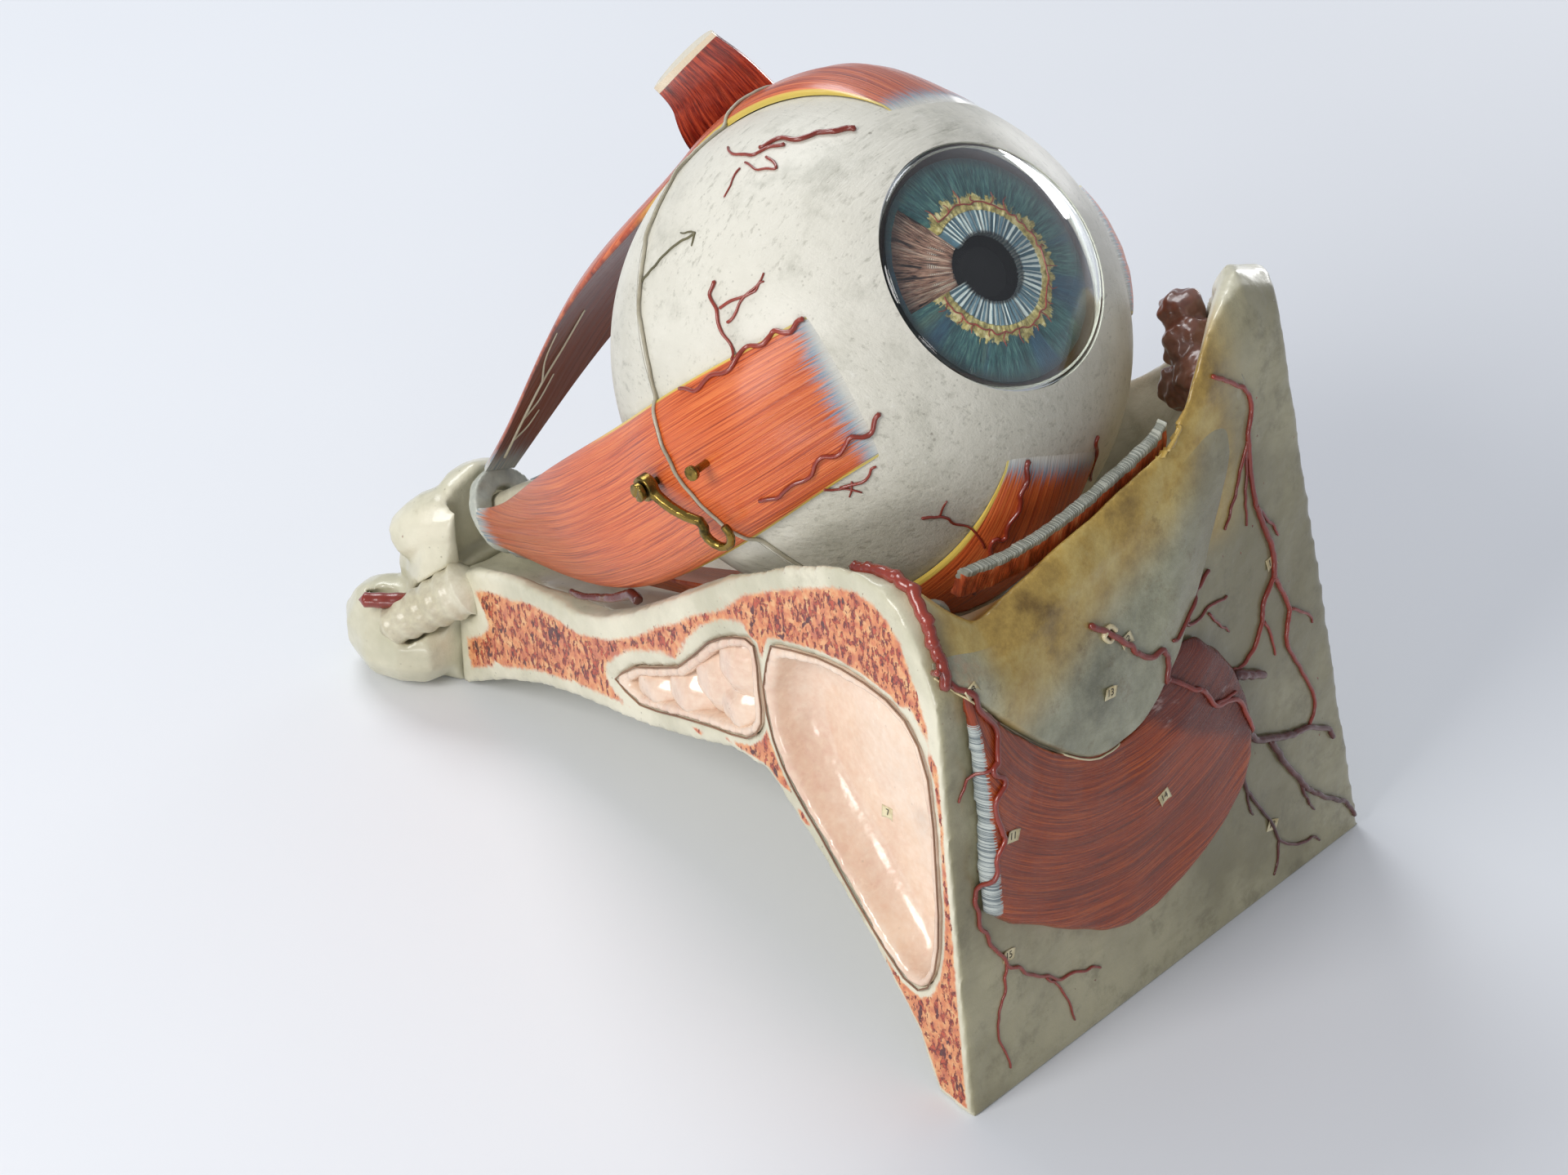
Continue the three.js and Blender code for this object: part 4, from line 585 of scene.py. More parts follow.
def sheet(top, under, rows, columns, flip=False):
    """Points and faces of a grid of places and the places under it, closed round its border."""
    count = rows * columns
    faces = grid_faces(rows, columns, 0, False)
    if flip:
        faces = [f[::-1] for f in faces]
    faces += [tuple(i + count for i in f[::-1]) for f in faces]
    border = list(range(columns)) + [k * columns + columns - 1 for k in range(1, rows)]
    border += list(range(count - 2, count - columns - 1, -1)) + [k * columns for k in range(rows - 2, 0, -1)]
    for a, b in zip(border, border[1:] + border[:1]):
        a, b = (b, a) if flip else (a, b)
        faces.append((b, a, a + count, b + count))
    return np.vstack([top, under]), faces


def revolved(profile, segments=160):
    """Points and faces of a closed (radius, height) profile turned round the gaze, in the globe's frame."""
    turns = np.linspace(0, 2 * math.pi, segments, endpoint=False)
    profile = np.asarray(profile, float)
    rings = [[(r * math.cos(t), r * math.sin(t), z) for r, z in profile] for t in turns]
    return np.array(rings).reshape(-1, 3), round_faces(segments, len(profile))


def arc(r, start, end, steps=40):
    angles = np.radians(np.linspace(start, end, steps))
    return [(r * math.sin(a), r * math.cos(a)) for a in angles]


def pole_angle(r, height):
    return math.degrees(math.acos(height / r))


def cleaned(points, faces, values=None, planes=(), merge=1e-3):
    """Joins equal points and cuts by planes (point, normal), keeping the side away from the normal."""
    bm = bmesh.new()
    layers = {key: bm.verts.layers.float.new(key) for key in (values or {})}
    verts = [bm.verts.new(p) for p in points]
    for key, layer in layers.items():
        for v, value in zip(verts, values[key]):
            v[layer] = float(value)
    for f in faces:
        corners = [verts[i] for i in f]
        if len(set(corners)) > 2:
            bm.faces.new(corners)
    bmesh.ops.remove_doubles(bm, verts=bm.verts, dist=merge)
    for point, normal in planes:
        geometry = bm.verts[:] + bm.edges[:] + bm.faces[:]
        cut = bmesh.ops.bisect_plane(
            bm, geom=geometry, plane_co=Vector(point), plane_no=Vector(normal), clear_outer=True)
        edges = [e for e in cut["geom_cut"] if isinstance(e, bmesh.types.BMEdge)]
        bmesh.ops.contextual_create(bm, geom=edges)
    bmesh.ops.recalc_face_normals(bm, faces=bm.faces)
    bm.verts.index_update()
    out_points = np.array([v.co[:] for v in bm.verts])
    out_faces = [[v.index for v in f.verts] for f in bm.faces]
    out_values = {key: [v[layer] for v in bm.verts] for key, layer in layers.items()}
    bm.free()
    return out_points, out_faces, out_values


def dense(node, voxel, rounds):
    """Points, faces and normals of a CAD node remeshed evenly and smoothed, in millimetres."""
    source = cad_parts[node]
    copy = bpy.data.objects.new(node + "_dense", source.data.copy())
    bpy.context.scene.collection.objects.link(copy)
    remesh = copy.modifiers.new("even", "REMESH")
    remesh.mode = "VOXEL"
    remesh.voxel_size = voxel / 1000
    relax = copy.modifiers.new("relax", "SMOOTH")
    relax.factor = 0.5
    relax.iterations = rounds
    bpy.context.view_layer.update()
    evaluated = copy.evaluated_get(bpy.context.evaluated_depsgraph_get())
    mesh = bpy.data.meshes.new_from_object(evaluated)
    points, normals = np.zeros((2, len(mesh.vertices) * 3))
    mesh.vertices.foreach_get("co", points)
    mesh.vertices.foreach_get("normal", normals)
    faces = [tuple(p.vertices) for p in mesh.polygons]
    bpy.data.objects.remove(copy)
    bpy.data.meshes.remove(mesh)
    return millimetres(points.reshape(-1, 3)), faces, normals.reshape(-1, 3)


def lumps(points, scale, depth, seed=0):
    """Gentle unevenness of hand-laid papier-mache at each point."""
    offset = Vector((seed * 7.1, seed * 3.3, seed * 5.7))
    return np.array([noise.noise(Vector(p) / scale + offset) for p in points]) * depth


def tube(places, radii, sides=9):
    """Points and faces of a closed round cord through places, with rounded ends."""
    places, radii = np.asarray(places, float), np.asarray(radii, float)
    ways = np.gradient(places, axis=0)
    ways /= np.linalg.norm(ways, axis=1)[:, None]
    side = np.cross(ways[0], (0.3, 0.2, 0.93))
    points = [places[0] - ways[0] * radii[0] * 0.8]
    turns = np.linspace(0, 2 * math.pi, sides, endpoint=False)
    for at, way, r in zip(places, ways, radii):
        side = side - way * side.dot(way)
        side /= np.linalg.norm(side)
        other = np.cross(way, side)
        points.extend(at + r * (math.cos(t) * side + math.sin(t) * other) for t in turns)
    points.append(places[-1] + ways[-1] * radii[-1] * 0.8)
    faces = grid_faces(len(places), sides, 1)
    last = len(points) - 1
    for k in range(sides):
        nxt = (k + 1) % sides
        faces.append((0, 1 + nxt, 1 + k))
        faces.append((last, last - sides + k, last - sides + nxt))
    return np.array(points), faces


def joined_tubes(cords):
    points, faces = [], []
    for p, f in cords:
        start = len(points)
        points.extend(p)
        faces.extend(tuple(i + start for i in face) for face in f)
    return np.array(points), faces


def spline(controls, steps):
    """Places and unit directions along a smooth curve through the control points."""
    controls = [np.asarray(c, float) for c in controls]
    ends = [2 * controls[0] - controls[1], *controls, 2 * controls[-1] - controls[-2]]
    spans = len(controls) - 1
    places = []
    for i in range(steps):
        t = i / (steps - 1) * spans
        k = min(int(t), spans - 1)
        t -= k
        a, b, c, d = ends[k:k + 4]
        curved = (2 * a - 5 * b + 4 * c - d) * t**2 + (3 * b - a - 3 * c + d) * t**3
        places.append(0.5 * (2 * b + (c - a) * t + curved))
    places = np.array(places)
    ways = np.gradient(places, axis=0)
    return places, ways / np.maximum(np.linalg.norm(ways, axis=1), 1e-9)[:, None]


def surface_of(*names):
    """Trees of finished pieces, to lay cords and paper on."""
    return [BVHTree.FromPolygons(SHAPES[name][0].tolist(), SHAPES[name][1]) for name in names]


def topmost(trees, at, out, reach=30.0):
    """The outermost surface point and normal under a place, looking inwards along out."""
    start = Vector(at + out * reach)
    best = None
    for tree in trees:
        hit, normal, _, distance = tree.ray_cast(start, Vector(-out))
        if hit is not None and (best is None or distance < best[2]):
            best = (np.array(hit), np.array(normal), distance)
    return best


def laid(trees, places, outs, radii, sink=0.35):
    """A cord that follows the surface under its route, sunk into it by a share of its radius."""
    lifts = []
    for at, out, r in zip(places, outs, radii):
        hit = topmost(trees, at, out)
        lifts.append((hit[0] - at).dot(out) if hit else lifts[-1] if lifts else 0.0)
    lifts = np.array(lifts)
    padded = np.pad(lifts, 2, mode="edge")
    lifts = np.maximum(lifts, np.convolve(padded, np.ones(5) / 5, mode="valid"))
    return tube(places + outs * (lifts + radii * (1 - sink))[:, None], radii)


# The eyeball's shells

SEAM_GAP = 0.15
SCLERA_IN = GLOBE_R - 4
WINDOW_ANGLE = 29
LIP_R, LIP_TOP_R, LIP_HEIGHT = 63, 61.9, 2.2


def seam_ridge(side):
    """Low rounded bead along the seam, on the half that lies on the given side of it."""
    turns = np.radians(np.linspace(0, 90, 6))
    return [(GLOBE_R + 0.1 + 0.5 * math.cos(t), side * (SEAM_GAP + 1.0 * math.sin(t))) for t in turns]


front_profile = (
    arc(GLOBE_R, WINDOW_ANGLE, 88.6, 70) + seam_ridge(1)[::-1]
    + [(LIP_R + 0.3, SEAM_GAP), (LIP_TOP_R + 0.3, LIP_HEIGHT + 0.3)]
    + arc(SCLERA_IN, pole_angle(SCLERA_IN, LIP_HEIGHT + 0.3), WINDOW_ANGLE + 2, 30)
)
rear_profile = (
    arc(GLOBE_R, 179.9, 91.4, 70) + seam_ridge(-1)[::-1]
    + [(LIP_R, -SEAM_GAP), (LIP_TOP_R, LIP_HEIGHT)]
    + arc(SCLERA_IN, pole_angle(SCLERA_IN, LIP_HEIGHT), 179.9, 30)
)
for half, body, profile in (("front", "eye_front", front_profile), ("rear", "eyeball", rear_profile)):
    points, faces = revolved(profile)
    node = f"sclera_{half}"
    mesh_piece(f"white_{half}", from_globe(points), faces, body, "sclera", "sclera", [node], sharp=50)

WINDOW_R = GLOBE_R * math.sin(math.radians(WINDOW_ANGLE))
WINDOW_PLANE = GLOBE_R * math.cos(math.radians(WINDOW_ANGLE))
RIM_R, RISE, GLASS_WALL = WINDOW_R - 0.3, 12.5, 2.0
DOME_R = (RIM_R**2 + RISE**2) / (2 * RISE)
dome_z = WINDOW_PLANE + RISE - DOME_R
rim_angle = math.degrees(math.asin(RIM_R / DOME_R))
inner_rim = RIM_R - 1.6
inner_r = DOME_R - GLASS_WALL
outer_dome = [(r, z + dome_z) for r, z in arc(DOME_R, 0.05, rim_angle, 40)]
inner_rim_angle = math.degrees(math.asin(inner_rim / inner_r))
inner_dome = [(r, z + dome_z) for r, z in arc(inner_r, inner_rim_angle, 0.05, 40)]
low = WINDOW_PLANE - GLASS_WALL
points, faces = revolved(outer_dome + [(RIM_R, low), (inner_rim, low)] + inner_dome)
mesh_piece("glass_front", from_globe(points), faces, "eye_front", "glass", "glass", ["cornea"], sharp=60)

# Iris: a domed disc in high relief with the sector cut away

IRIS_PLANE = WINDOW_PLANE - 4.5
IRIS_WALL, IRIS_DOME, PUPIL_R = 1.6, 2.0, 8.6
IRIS_R = math.sqrt(SCLERA_IN**2 - (IRIS_PLANE + IRIS_WALL) ** 2) - 0.6
CUT_MIDDLE, CUT_HALF = 152, 31


def iris_disc():
    rings, turns = 60, 360
    radii = np.linspace(PUPIL_R, IRIS_R, rings)
    angles = np.linspace(0, 2 * math.pi, turns, endpoint=False)
    shares = (radii - PUPIL_R) / (IRIS_R - PUPIL_R)
    top = []
    for r, share in zip(radii, shares):
        for t in angles:
            fold = 0.22 * math.sin(t * 60 + 3 * math.sin(t * 7)) * (1 - smooth(share, 0.2, 0.5))
            furrow = 0.3 * noise.noise(Vector((9 * math.cos(t), 9 * math.sin(t), share * 2)))
            z = IRIS_PLANE + IRIS_WALL + IRIS_DOME * (1 - (r / IRIS_R) ** 2) + fold + furrow - 0.3
            top.append((r * math.cos(t), r * math.sin(t), z))
    top = np.array(top)
    count = rings * turns

    def cut_away(ring, turn):
        off = (math.degrees(angles[turn]) - CUT_MIDDLE + 180) % 360 - 180
        return abs(off) < CUT_HALF and radii[ring] < IRIS_R - 1.5

    cells = [(r, t) for r in range(rings - 1) for t in range(turns)]
    keep = {(r, t) for r, t in cells if not (cut_away(r, t) and cut_away(r + 1, t))}
    faces = []
    for r, t in sorted(keep):
        u = (t + 1) % turns
        a, b, c, d = r * turns + t, r * turns + u, (r + 1) * turns + u, (r + 1) * turns + t
        faces += [(a, d, c, b), (a + count, b + count, c + count, d + count)]
        sides = {(a, b): (r - 1, t), (c, d): (r + 1, t), (b, c): (r, u), (d, a): (r, (t - 1) % turns)}
        faces += [(p, q, q + count, p + count) for (p, q), beside in sides.items() if beside not in keep]
    values = {"radial": np.tile(np.repeat(shares, turns), 2), "turn": np.tile(angles, 2 * rings)}
    points = from_globe(np.vstack([top, top - [0, 0, IRIS_WALL]]))
    mesh_piece("iris_disc", points, faces, "eye_front", "iris", "iris", ["iris"], values, sharp=50)


def cut_folds():
    """Radial folds that show in the sector cut from the iris, from the pupil's edge to the ciliary ring."""
    radii = np.linspace(PUPIL_R + 0.5, 25.7, 46)
    turns = np.radians(np.linspace(CUT_MIDDLE - CUT_HALF - 4, CUT_MIDDLE + CUT_HALF + 4, 260))
    shares = (radii - radii[0]) / (radii[-1] - radii[0])
    top = []
    for r, share in zip(radii, shares):
        floor_z = IRIS_PLANE + 0.5 - 1.4 * float(smooth(share * 2))
        for t in turns:
            fold = noise.noise(Vector((26 * t, share * 0.6, 2))) * 0.42 + 0.12 * math.sin(t * 210)
            top.append((r * math.cos(t), r * math.sin(t), floor_z + fold))
    points, faces = sheet(top, np.array(top) - [0, 0, 0.3], len(radii), len(turns))
    values = {"radial": np.tile(np.repeat(shares, len(turns)), 2), "turn": np.tile(turns, 2 * len(radii))}
    mesh_piece("cut_folds", from_globe(points), faces, "eye_front", "ciliary", "fan", (), values)


def ciliary_folds():
    """Ring of radial folds, round in section, seen through the sector cut in the iris."""
    segments, top, inner_r = 720, IRIS_PLANE - 0.3, 26
    outer_top = math.sqrt((SCLERA_IN - 2.3) ** 2 - top**2) - 0.3
    bulge = [(inner_r - 1.2 * math.sin(a), top - 2.5 + 2.5 * math.cos(a)) for a in np.linspace(0.2, 3, 9)]
    section = [(outer_top, top), (inner_r, top), *bulge, (outer_top + 2, top - 5)]
    points = []
    for t in np.arange(segments) / segments * 2 * math.pi:
        groove = 1.3 * (0.5 - 0.5 * math.cos(t * 60))
        for k, (r, z) in enumerate(section):
            inside = 0 < k < len(section) - 1
            points.append((r * math.cos(t), r * math.sin(t), z - groove * inside))
    points, faces = from_globe(points), round_faces(segments, len(section))
    mesh_piece("ciliary_folds", points, faces, "eye_front", "ciliary", "ciliary", ["ciliary_body"])


iris_disc()
cut_folds()
ciliary_folds()


# The straight muscles

APEX = to_globe([-27, 112, 52])
APEX_WAY = APEX / np.linalg.norm(APEX)
RECTI = {
    "medial_rectus": dict(azimuth=191, bow=3, sag=9, belly=1.35, width=1.08, late=3),
    "inferior_rectus": dict(azimuth=63, bow=5, sag=2, belly=1.3, width=1, late=2),
    "lateral_rectus": dict(azimuth=350, bow=1, sag=0, belly=1.2, width=1, late=1.3),
    "superior_rectus": dict(azimuth=270, bow=0, sag=0, belly=1, width=1, late=1.3),
}
SEAT_R = GLOBE_R + 0.3
INSERTION = 45
STRAP_WIDTH, STRAP_THICKNESS, TENDON_THICKNESS = 37, 5, 0.35
TIP_WIDTH, TIP_THICKNESS, TIP_CIRCLE = 11, 3, 9


class Band:
    """Closed rings across a flat cord, with values at their points for its paint."""

    def __init__(self, columns):
        self.u = np.cos(np.linspace(math.pi, 0, columns))
        self.columns, self.points, self.values = columns, [], {}

    def ring(self, inner, outs, thick, half_width, **values):
        rise = thick * np.sqrt(1.03 - self.u**2)
        self.points.extend(inner)
        self.points.extend((inner + outs * rise[:, None])[::-1])
        both = np.concatenate([self.u, self.u[::-1]])
        values.update(across=both * half_width, edge=np.abs(both), inside=np.repeat([1.0, 0.0], self.columns))
        for key, value in values.items():
            self.values.setdefault(key, []).extend(np.broadcast_to(value, 2 * self.columns))

    def closed(self):
        count = 2 * self.columns
        faces = grid_faces(len(self.points) // count, count)
        for first in (0, len(self.points) - count):
            last = first + count - 1
            faces += [(first + i, first + i + 1, last - 1 - i, last - i) for i in range(self.columns - 1)]
        return np.array(self.points), faces, self.values


def strap(azimuth, bow, sag, belly, width, late):
    """Band that hugs the ball in a great circle and then runs straight to the apex."""
    start = on_globe(INSERTION, azimuth)
    radial = start - APEX_WAY * start.dot(APEX_WAY)
    tip = APEX + radial / np.linalg.norm(radial) * TIP_CIRCLE
    across = tip - start * tip.dot(start)
    across /= np.linalg.norm(across)
    side = np.cross(start, across)
    leave = math.acos(start.dot(tip) / np.linalg.norm(tip)) - math.acos(SEAT_R / np.linalg.norm(tip))
    arc_length = leave * SEAT_R
    leave_way = start * math.cos(leave) + across * math.sin(leave)
    straight = tip - leave_way * SEAT_R
    total = arc_length + np.linalg.norm(straight)
    seam = math.radians(90 - INSERTION) * SEAT_R / total
    full_width = STRAP_WIDTH * width
    band = Band(36)
    leave_share = arc_length / total
    for share in np.concatenate([np.linspace(0, leave_share, 60), np.linspace(leave_share, 1, 60)[1:]]):
        travelled = share * total
        straight_share = (travelled - arc_length) / np.linalg.norm(straight)
        if straight_share > 0:
            out = leave_way
            at = leave_way * SEAT_R + straight * straight_share
            at = at + out * bow * math.sin(math.pi * straight_share) ** 2 * (1 - straight_share * 0.3)
        else:
            out = start * math.cos(travelled / SEAT_R) + across * math.sin(travelled / SEAT_R)
            at = out * (SEAT_R - 0.8 * (1 - float(smooth(travelled, 0, 6))))
        taper = float(smooth((share - seam) / (1 - seam)))
        if share < seam:
            wide = full_width * (0.92 + 0.08 * float(smooth(share / seam)))
            fleshy = float(smooth(share / seam * 1.5))
            thick = TENDON_THICKNESS + (STRAP_THICKNESS - TENDON_THICKNESS) * fleshy
        else:
            full = STRAP_THICKNESS * (1 + (belly - 1) * math.sin(math.pi * min(taper * 1.4, 1)))
            wide = full_width + (TIP_WIDTH - full_width) * taper**late
            thick = full + (TIP_THICKNESS - full) * taper**2
        bend = np.linalg.norm(at)
        turn = np.arcsin((wide / 2 * band.u + sag * math.sin(math.pi * share**1.4)) / bend)
        outs = out * np.cos(turn)[:, None] + side * np.sin(turn)[:, None]
        bundle = np.array([noise.noise(Vector((k * 5 + azimuth, share * 4, 0))) for k in band.u])
        thick = thick + bundle * 0.5 * min(1, share / seam)
        inner = at - out * bend + outs * bend
        band.ring(inner, outs, thick, wide / 2, along=travelled, share=share, left=total - travelled)
    return band.closed()


SEAM = ((0, 0, SEAM_GAP), (0, 0, -1)), ((0, 0, -SEAM_GAP), (0, 0, 1))
RING_FACE = (APEX - APEX_WAY * 4.6, APEX_WAY)
for name, form in RECTI.items():
    paint = "dark_strap" if name == "inferior_rectus" else "muscle"
    whole = strap(**form)
    for part, body, planes in (("front", "eye_front", [SEAM[0]]), ("rear", "eyeball", [SEAM[1], RING_FACE])):
        points, faces, values = cleaned(*whole, planes)
        points, node = from_globe(points), f"{name}_{part}"
        mesh_piece(node + "_strap", points, faces, body, "muscle", paint, [node], values, sharp=55)


def oblique_stump():
    """Cut end of the oblique muscle that crosses over the ball."""
    over = GLOBE_R + STRAP_THICKNESS + 0.9
    path = [
        ((0.62, 0.78, 0.02), GLOBE_R + 4), ((0.5, 0.84, 0.18), GLOBE_R + 5),
        ((0.36, 0.87, 0.34), over + 2.5), ((0.25, 0.86, 0.44), GLOBE_R + 11),
        ((0.18, 0.84, 0.51), GLOBE_R + 18), ((0.12, 0.83, 0.54), GLOBE_R + 26),
    ]
    rise = (0.62, -0.65, 0.53)
    sides = [(0.1, 0.25, 1), (0.2, -0.1, 0.95), (0.5, -0.4, 0.75), rise, rise, rise]
    steps, cap_from, full_width = 70, 0.955, 30
    places, ways = spline([np.array(way) / np.linalg.norm(way) * r + CENTRE for way, r in path], steps)
    side_ways, _ = spline(sides, steps)
    band = Band(24)
    for share, at, way, side in zip(np.arange(steps) / (steps - 1), places, ways, side_ways):
        side = side - way * side.dot(way)
        side /= np.linalg.norm(side)
        out = -np.cross(side, way)
        if out.dot(at - CENTRE) < 0:
            out = -out
        thick = 1.5 + 5.5 * float(smooth(share * 2))
        narrowing = 1 - 0.28 * float(smooth(share * 2 - 1))
        wide = full_width * (0.6 + 0.4 * float(smooth(share * 1.6))) * narrowing
        reach = wide / 2 * band.u
        sag = 70 - np.sqrt(70**2 - reach**2)
        inner = at + side * reach[:, None] - out * sag[:, None]
        cap = float(smooth(share, cap_from, cap_from + 0.02))
        band.ring(inner, out, thick, 13, along=40 + share * 90, cap=cap)
    points, faces, values = cleaned(*band.closed())
    hides = ["inferior_oblique"]
    mesh_piece("oblique_stump", points, faces, "eyeball", "dark_muscle", "stump", hides, values, sharp=50)


oblique_stump()


# The bone

FAR = 1e9


def section_edges():
    """Outlines of the cut face, as pairs of (distance along, height) points."""
    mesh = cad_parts["frontal_bone"].data
    points = millimetres([v.co for v in mesh.vertices])
    depth = (points - SECTION_CORNER) @ INTO_BONE
    flat = [p for p in mesh.polygons if all(abs(depth[i]) < 0.05 for i in p.vertices)]
    used = {}
    for p in flat:
        for a, b in p.edge_keys:
            key = tuple(sorted((tuple(np.round(points[a], 2)), tuple(np.round(points[b], 2)))))
            used[key] = used.get(key, 0) + 1
    rim = [key for key, times in used.items() if times == 1]
    return np.array([[((np.array(p) - SECTION_CORNER) @ ALONG_SECTION, p[2]) for p in key] for key in rim])


def cut_loops():
    """Closed outlines of the cut face as lists of (distance along, height), the outer one last."""
    links = {}
    for a, b in section_edges():
        a, b = tuple(a), tuple(b)
        links.setdefault(a, []).append(b)
        links.setdefault(b, []).append(a)
    loops = []
    while links:
        loop = [next(iter(links))]
        while True:
            onwards = [n for n in links.pop(loop[-1]) if n in links]
            if not onwards:
                break
            loop.append(onwards[0])
        loops.append(loop)
    return sorted(loops, key=lambda loop: np.ptp(np.array(loop)[:, 0]))


def distance_to_edges(places, edges, higher_only=False):
    """Distance from each place to the nearest edge, or to the nearest of those that lie higher."""
    nearest = np.full(len(places), FAR)
    for a, b in edges:
        way = b - a
        t = np.clip(((places - a) @ way) / max(way @ way, 1e-9), 0, 1)
        away = np.linalg.norm(places - a - t[:, None] * way, axis=1)
        if higher_only:
            away[(a + b)[1] / 2 <= places[:, 1]] = FAR
        nearest = np.minimum(nearest, away)
    return nearest


def orbit_bone():
    """The cut bone, with values for its marrow, its varnished panel and its ochre brow."""
    points, faces, normals = dense("frontal_bone", 1.0, 14)
    depth = (points - SECTION_CORNER) @ INTO_BONE
    on_cut = (np.abs(depth) < 1.2) & ((normals @ INTO_BONE) < -0.5)
    places = np.stack([(points - SECTION_CORNER) @ ALONG_SECTION, points[:, 2]], 1)
    edge = np.zeros(len(points))
    edge[on_cut] = distance_to_edges(places[on_cut], section_edges())
    outline = np.array(cut_loops()[-1])
    outer_edges = list(zip(outline, np.roll(outline, -1, axis=0)))
    top = np.full(len(points), FAR)
    top[on_cut] = distance_to_edges(places[on_cut], outer_edges, True)
    high = smooth(places[:, 1], 95, 125) * smooth(places[:, 0], 25, 45)
    below_cell = smooth(top, 10, 15) * (1 - smooth(places[:, 0], 118, 136))
    front_limb = (1 - smooth(places[:, 1], 84, 96)) * (1 - smooth(places[:, 0], 50, 70))
    thin = np.maximum(below_cell, front_limb)
    rind = (3.2 + 1.4 * high) * (1 - thin) + 1.5 * thin
    top_rind = (5.5 * (1 - high) + lumps(points, 14, 1.2, 4)) * (1 - thin) - 4 * thin
    inner = smooth(edge, rind, rind + 3.2 - 1.9 * thin)
    marrow = np.where(on_cut, np.minimum(inner, smooth(top, top_rind - 0.8, top_rind + 2.4)), 0)
    lean = points[:, 1] - forehead_y(points[:, 2])
    panel = smooth(-(normals @ -FOREHEAD_OUT), 0.3, 0.85) * smooth(-lean, -9, -3)
    uneven = lumps(points, 16, 0.5, 1) + lumps(points, 5, 0.14, 2)
    uneven[on_cut] *= 0.3
    points = points + normals * (uneven * np.where(points[:, 2] < 3, 0, 1))[:, None]
    rim_side = smooth(points[:, 0], -74, -60) * (1 - smooth(points[:, 0], 26, 44))
    brow = smooth(-points[:, 1], 66, 76) * smooth(points[:, 2], 104, 118) * rim_side
    values = {"marrow": marrow, "panel": panel, "brow": brow * (1 - marrow)}
    mesh_piece("orbit_bone", points, faces, "orbit", "bone", "bone", ["frontal_bone"], values)


orbit_bone()


def plain_dense(node, name, body, slot, paint, voxel, rounds, scale, depth, values=None, grow=0.0):
    """A CAD node's own shape with rounded edges and gentle unevenness."""
    points, faces, normals = dense(node, voxel, rounds)
    points = points + normals * (lumps(points, scale, depth, len(node)) + grow)[:, None]
    mesh_piece(name, points, faces, body, slot, paint, [node], values(points) if values else None)


plain_dense("sphenoid", "apex_bone", "orbit", "bone", "bone", 0.9, 10, 12, 0.6,
            lambda points: dict.fromkeys(("marrow", "panel", "brow"), np.zeros(len(points))))
plain_dense("sinus_lining", "sinus_wall", "orbit", "sinus", "sinus", 0.7, 26, 14, 0.8, grow=0.45)
plain_dense("sinus_cell_lining", "sinus_cell_wall", "orbit", "sinus", "sinus", 0.7, 12, 10, 0.3, grow=0.45)
plain_dense("sinus_folds", "sinus_swellings", "orbit", "sinus", "sinus", 0.6, 16, 6, 0.4, grow=1.3)
plain_dense("tear_gland", "lobed_gland", "orbit", "gland", "gland", 0.6, 3, 3, 1.1)
plain_dense("muscle_pulley", "pulley_knob", "orbit", "tendon", "tendon", 0.5, 3, 3, 0.3)


def ribbed_stump(name, node, slot, route, start_r, end_r, ribs, rib_depth):
    """Cut end of a nerve or vessel, ringed by shallow ribs."""
    shares = np.linspace(0, 1, 60)
    places, _ = spline(route, len(shares))
    radii = (start_r + (end_r - start_r) * shares) * (1 + rib_depth * np.cos(shares * ribs * 2 * math.pi))
    mesh_piece(name, *tube(places, radii, 28), "orbit", slot, slot, [node])


NERVE_STUMP = [(-42, 111, 35), (-49, 119, 28), (-56, 127, 21)]
CAROTID_END = [(-50, 124, 28), (-55, 129, 28.2), (-59.5, 134, 28.4)]
ribbed_stump("nerve_stump", "optic_nerve_stub", "nerve", NERVE_STUMP, 8.0, 5.4, 5, 0.045)
ribbed_stump("carotid_end", "carotid_stub", "artery", CAROTID_END, 2.4, 2.1, 3, 0.03)
plain_dense("optic_nerve", "nerve_cord", "eyeball", "nerve", "nerve", 0.7, 6, 5, 0.3)
plain_dense("tendon_ring", "apex_ring", "eyeball", "tendon", "tendon", 0.5, 3, 4, 0.3)


def flap_values(points):
    """Tongue at the lower inner end, khaki skin towards the temple, and a blush below the lid."""
    x, z = points[:, 0], points[:, 2]
    up = z - (97 + 0.42 * (x + 40))
    tongue = 1 - smooth(up, -4, 14) * smooth(x, -66, -50)
    outer = smooth(x - (z - 120) * 0.35, 6, 26)
    blush = smooth(z - (121 + 0.36 * (x + 50)), -4, 2)
    return {"tongue": tongue, "outer": outer, "blush": blush}


def brow_muscle_values(points):
    """Fibres sweep from the inner tendon round the tongue of the skin flap and up towards the temple."""
    x, z = points[:, 0], points[:, 2]
    bend_x, bend_z = -12.0, 116.0
    away = np.hypot((x - bend_x) * 0.9, z - bend_z)
    turn = np.arctan2(z - bend_z, x - bend_x)
    comb = smooth(-x, 64, 66) * smooth(z, 36, 42) * (1 - smooth(z, 104, 108))
    wine = smooth(x + 38 + (z - 84) * 1.7, 0, 34)
    return {"across": away, "along": turn * away * 0.6, "wine": wine, "comb": comb}


def lid_values(points):
    """Crest at the top edge of the strip, which rises from the inner corner to the outer."""
    x, z = points[:, 0], points[:, 2]
    bins = np.clip(((x + 46) / 2).astype(int), 0, 40)
    highest = np.array([z[bins == k].max() if (bins == k).any() else 0 for k in range(41)])
    return {"crest": 1 - smooth(highest[bins] - z, 1.6, 2.4)}


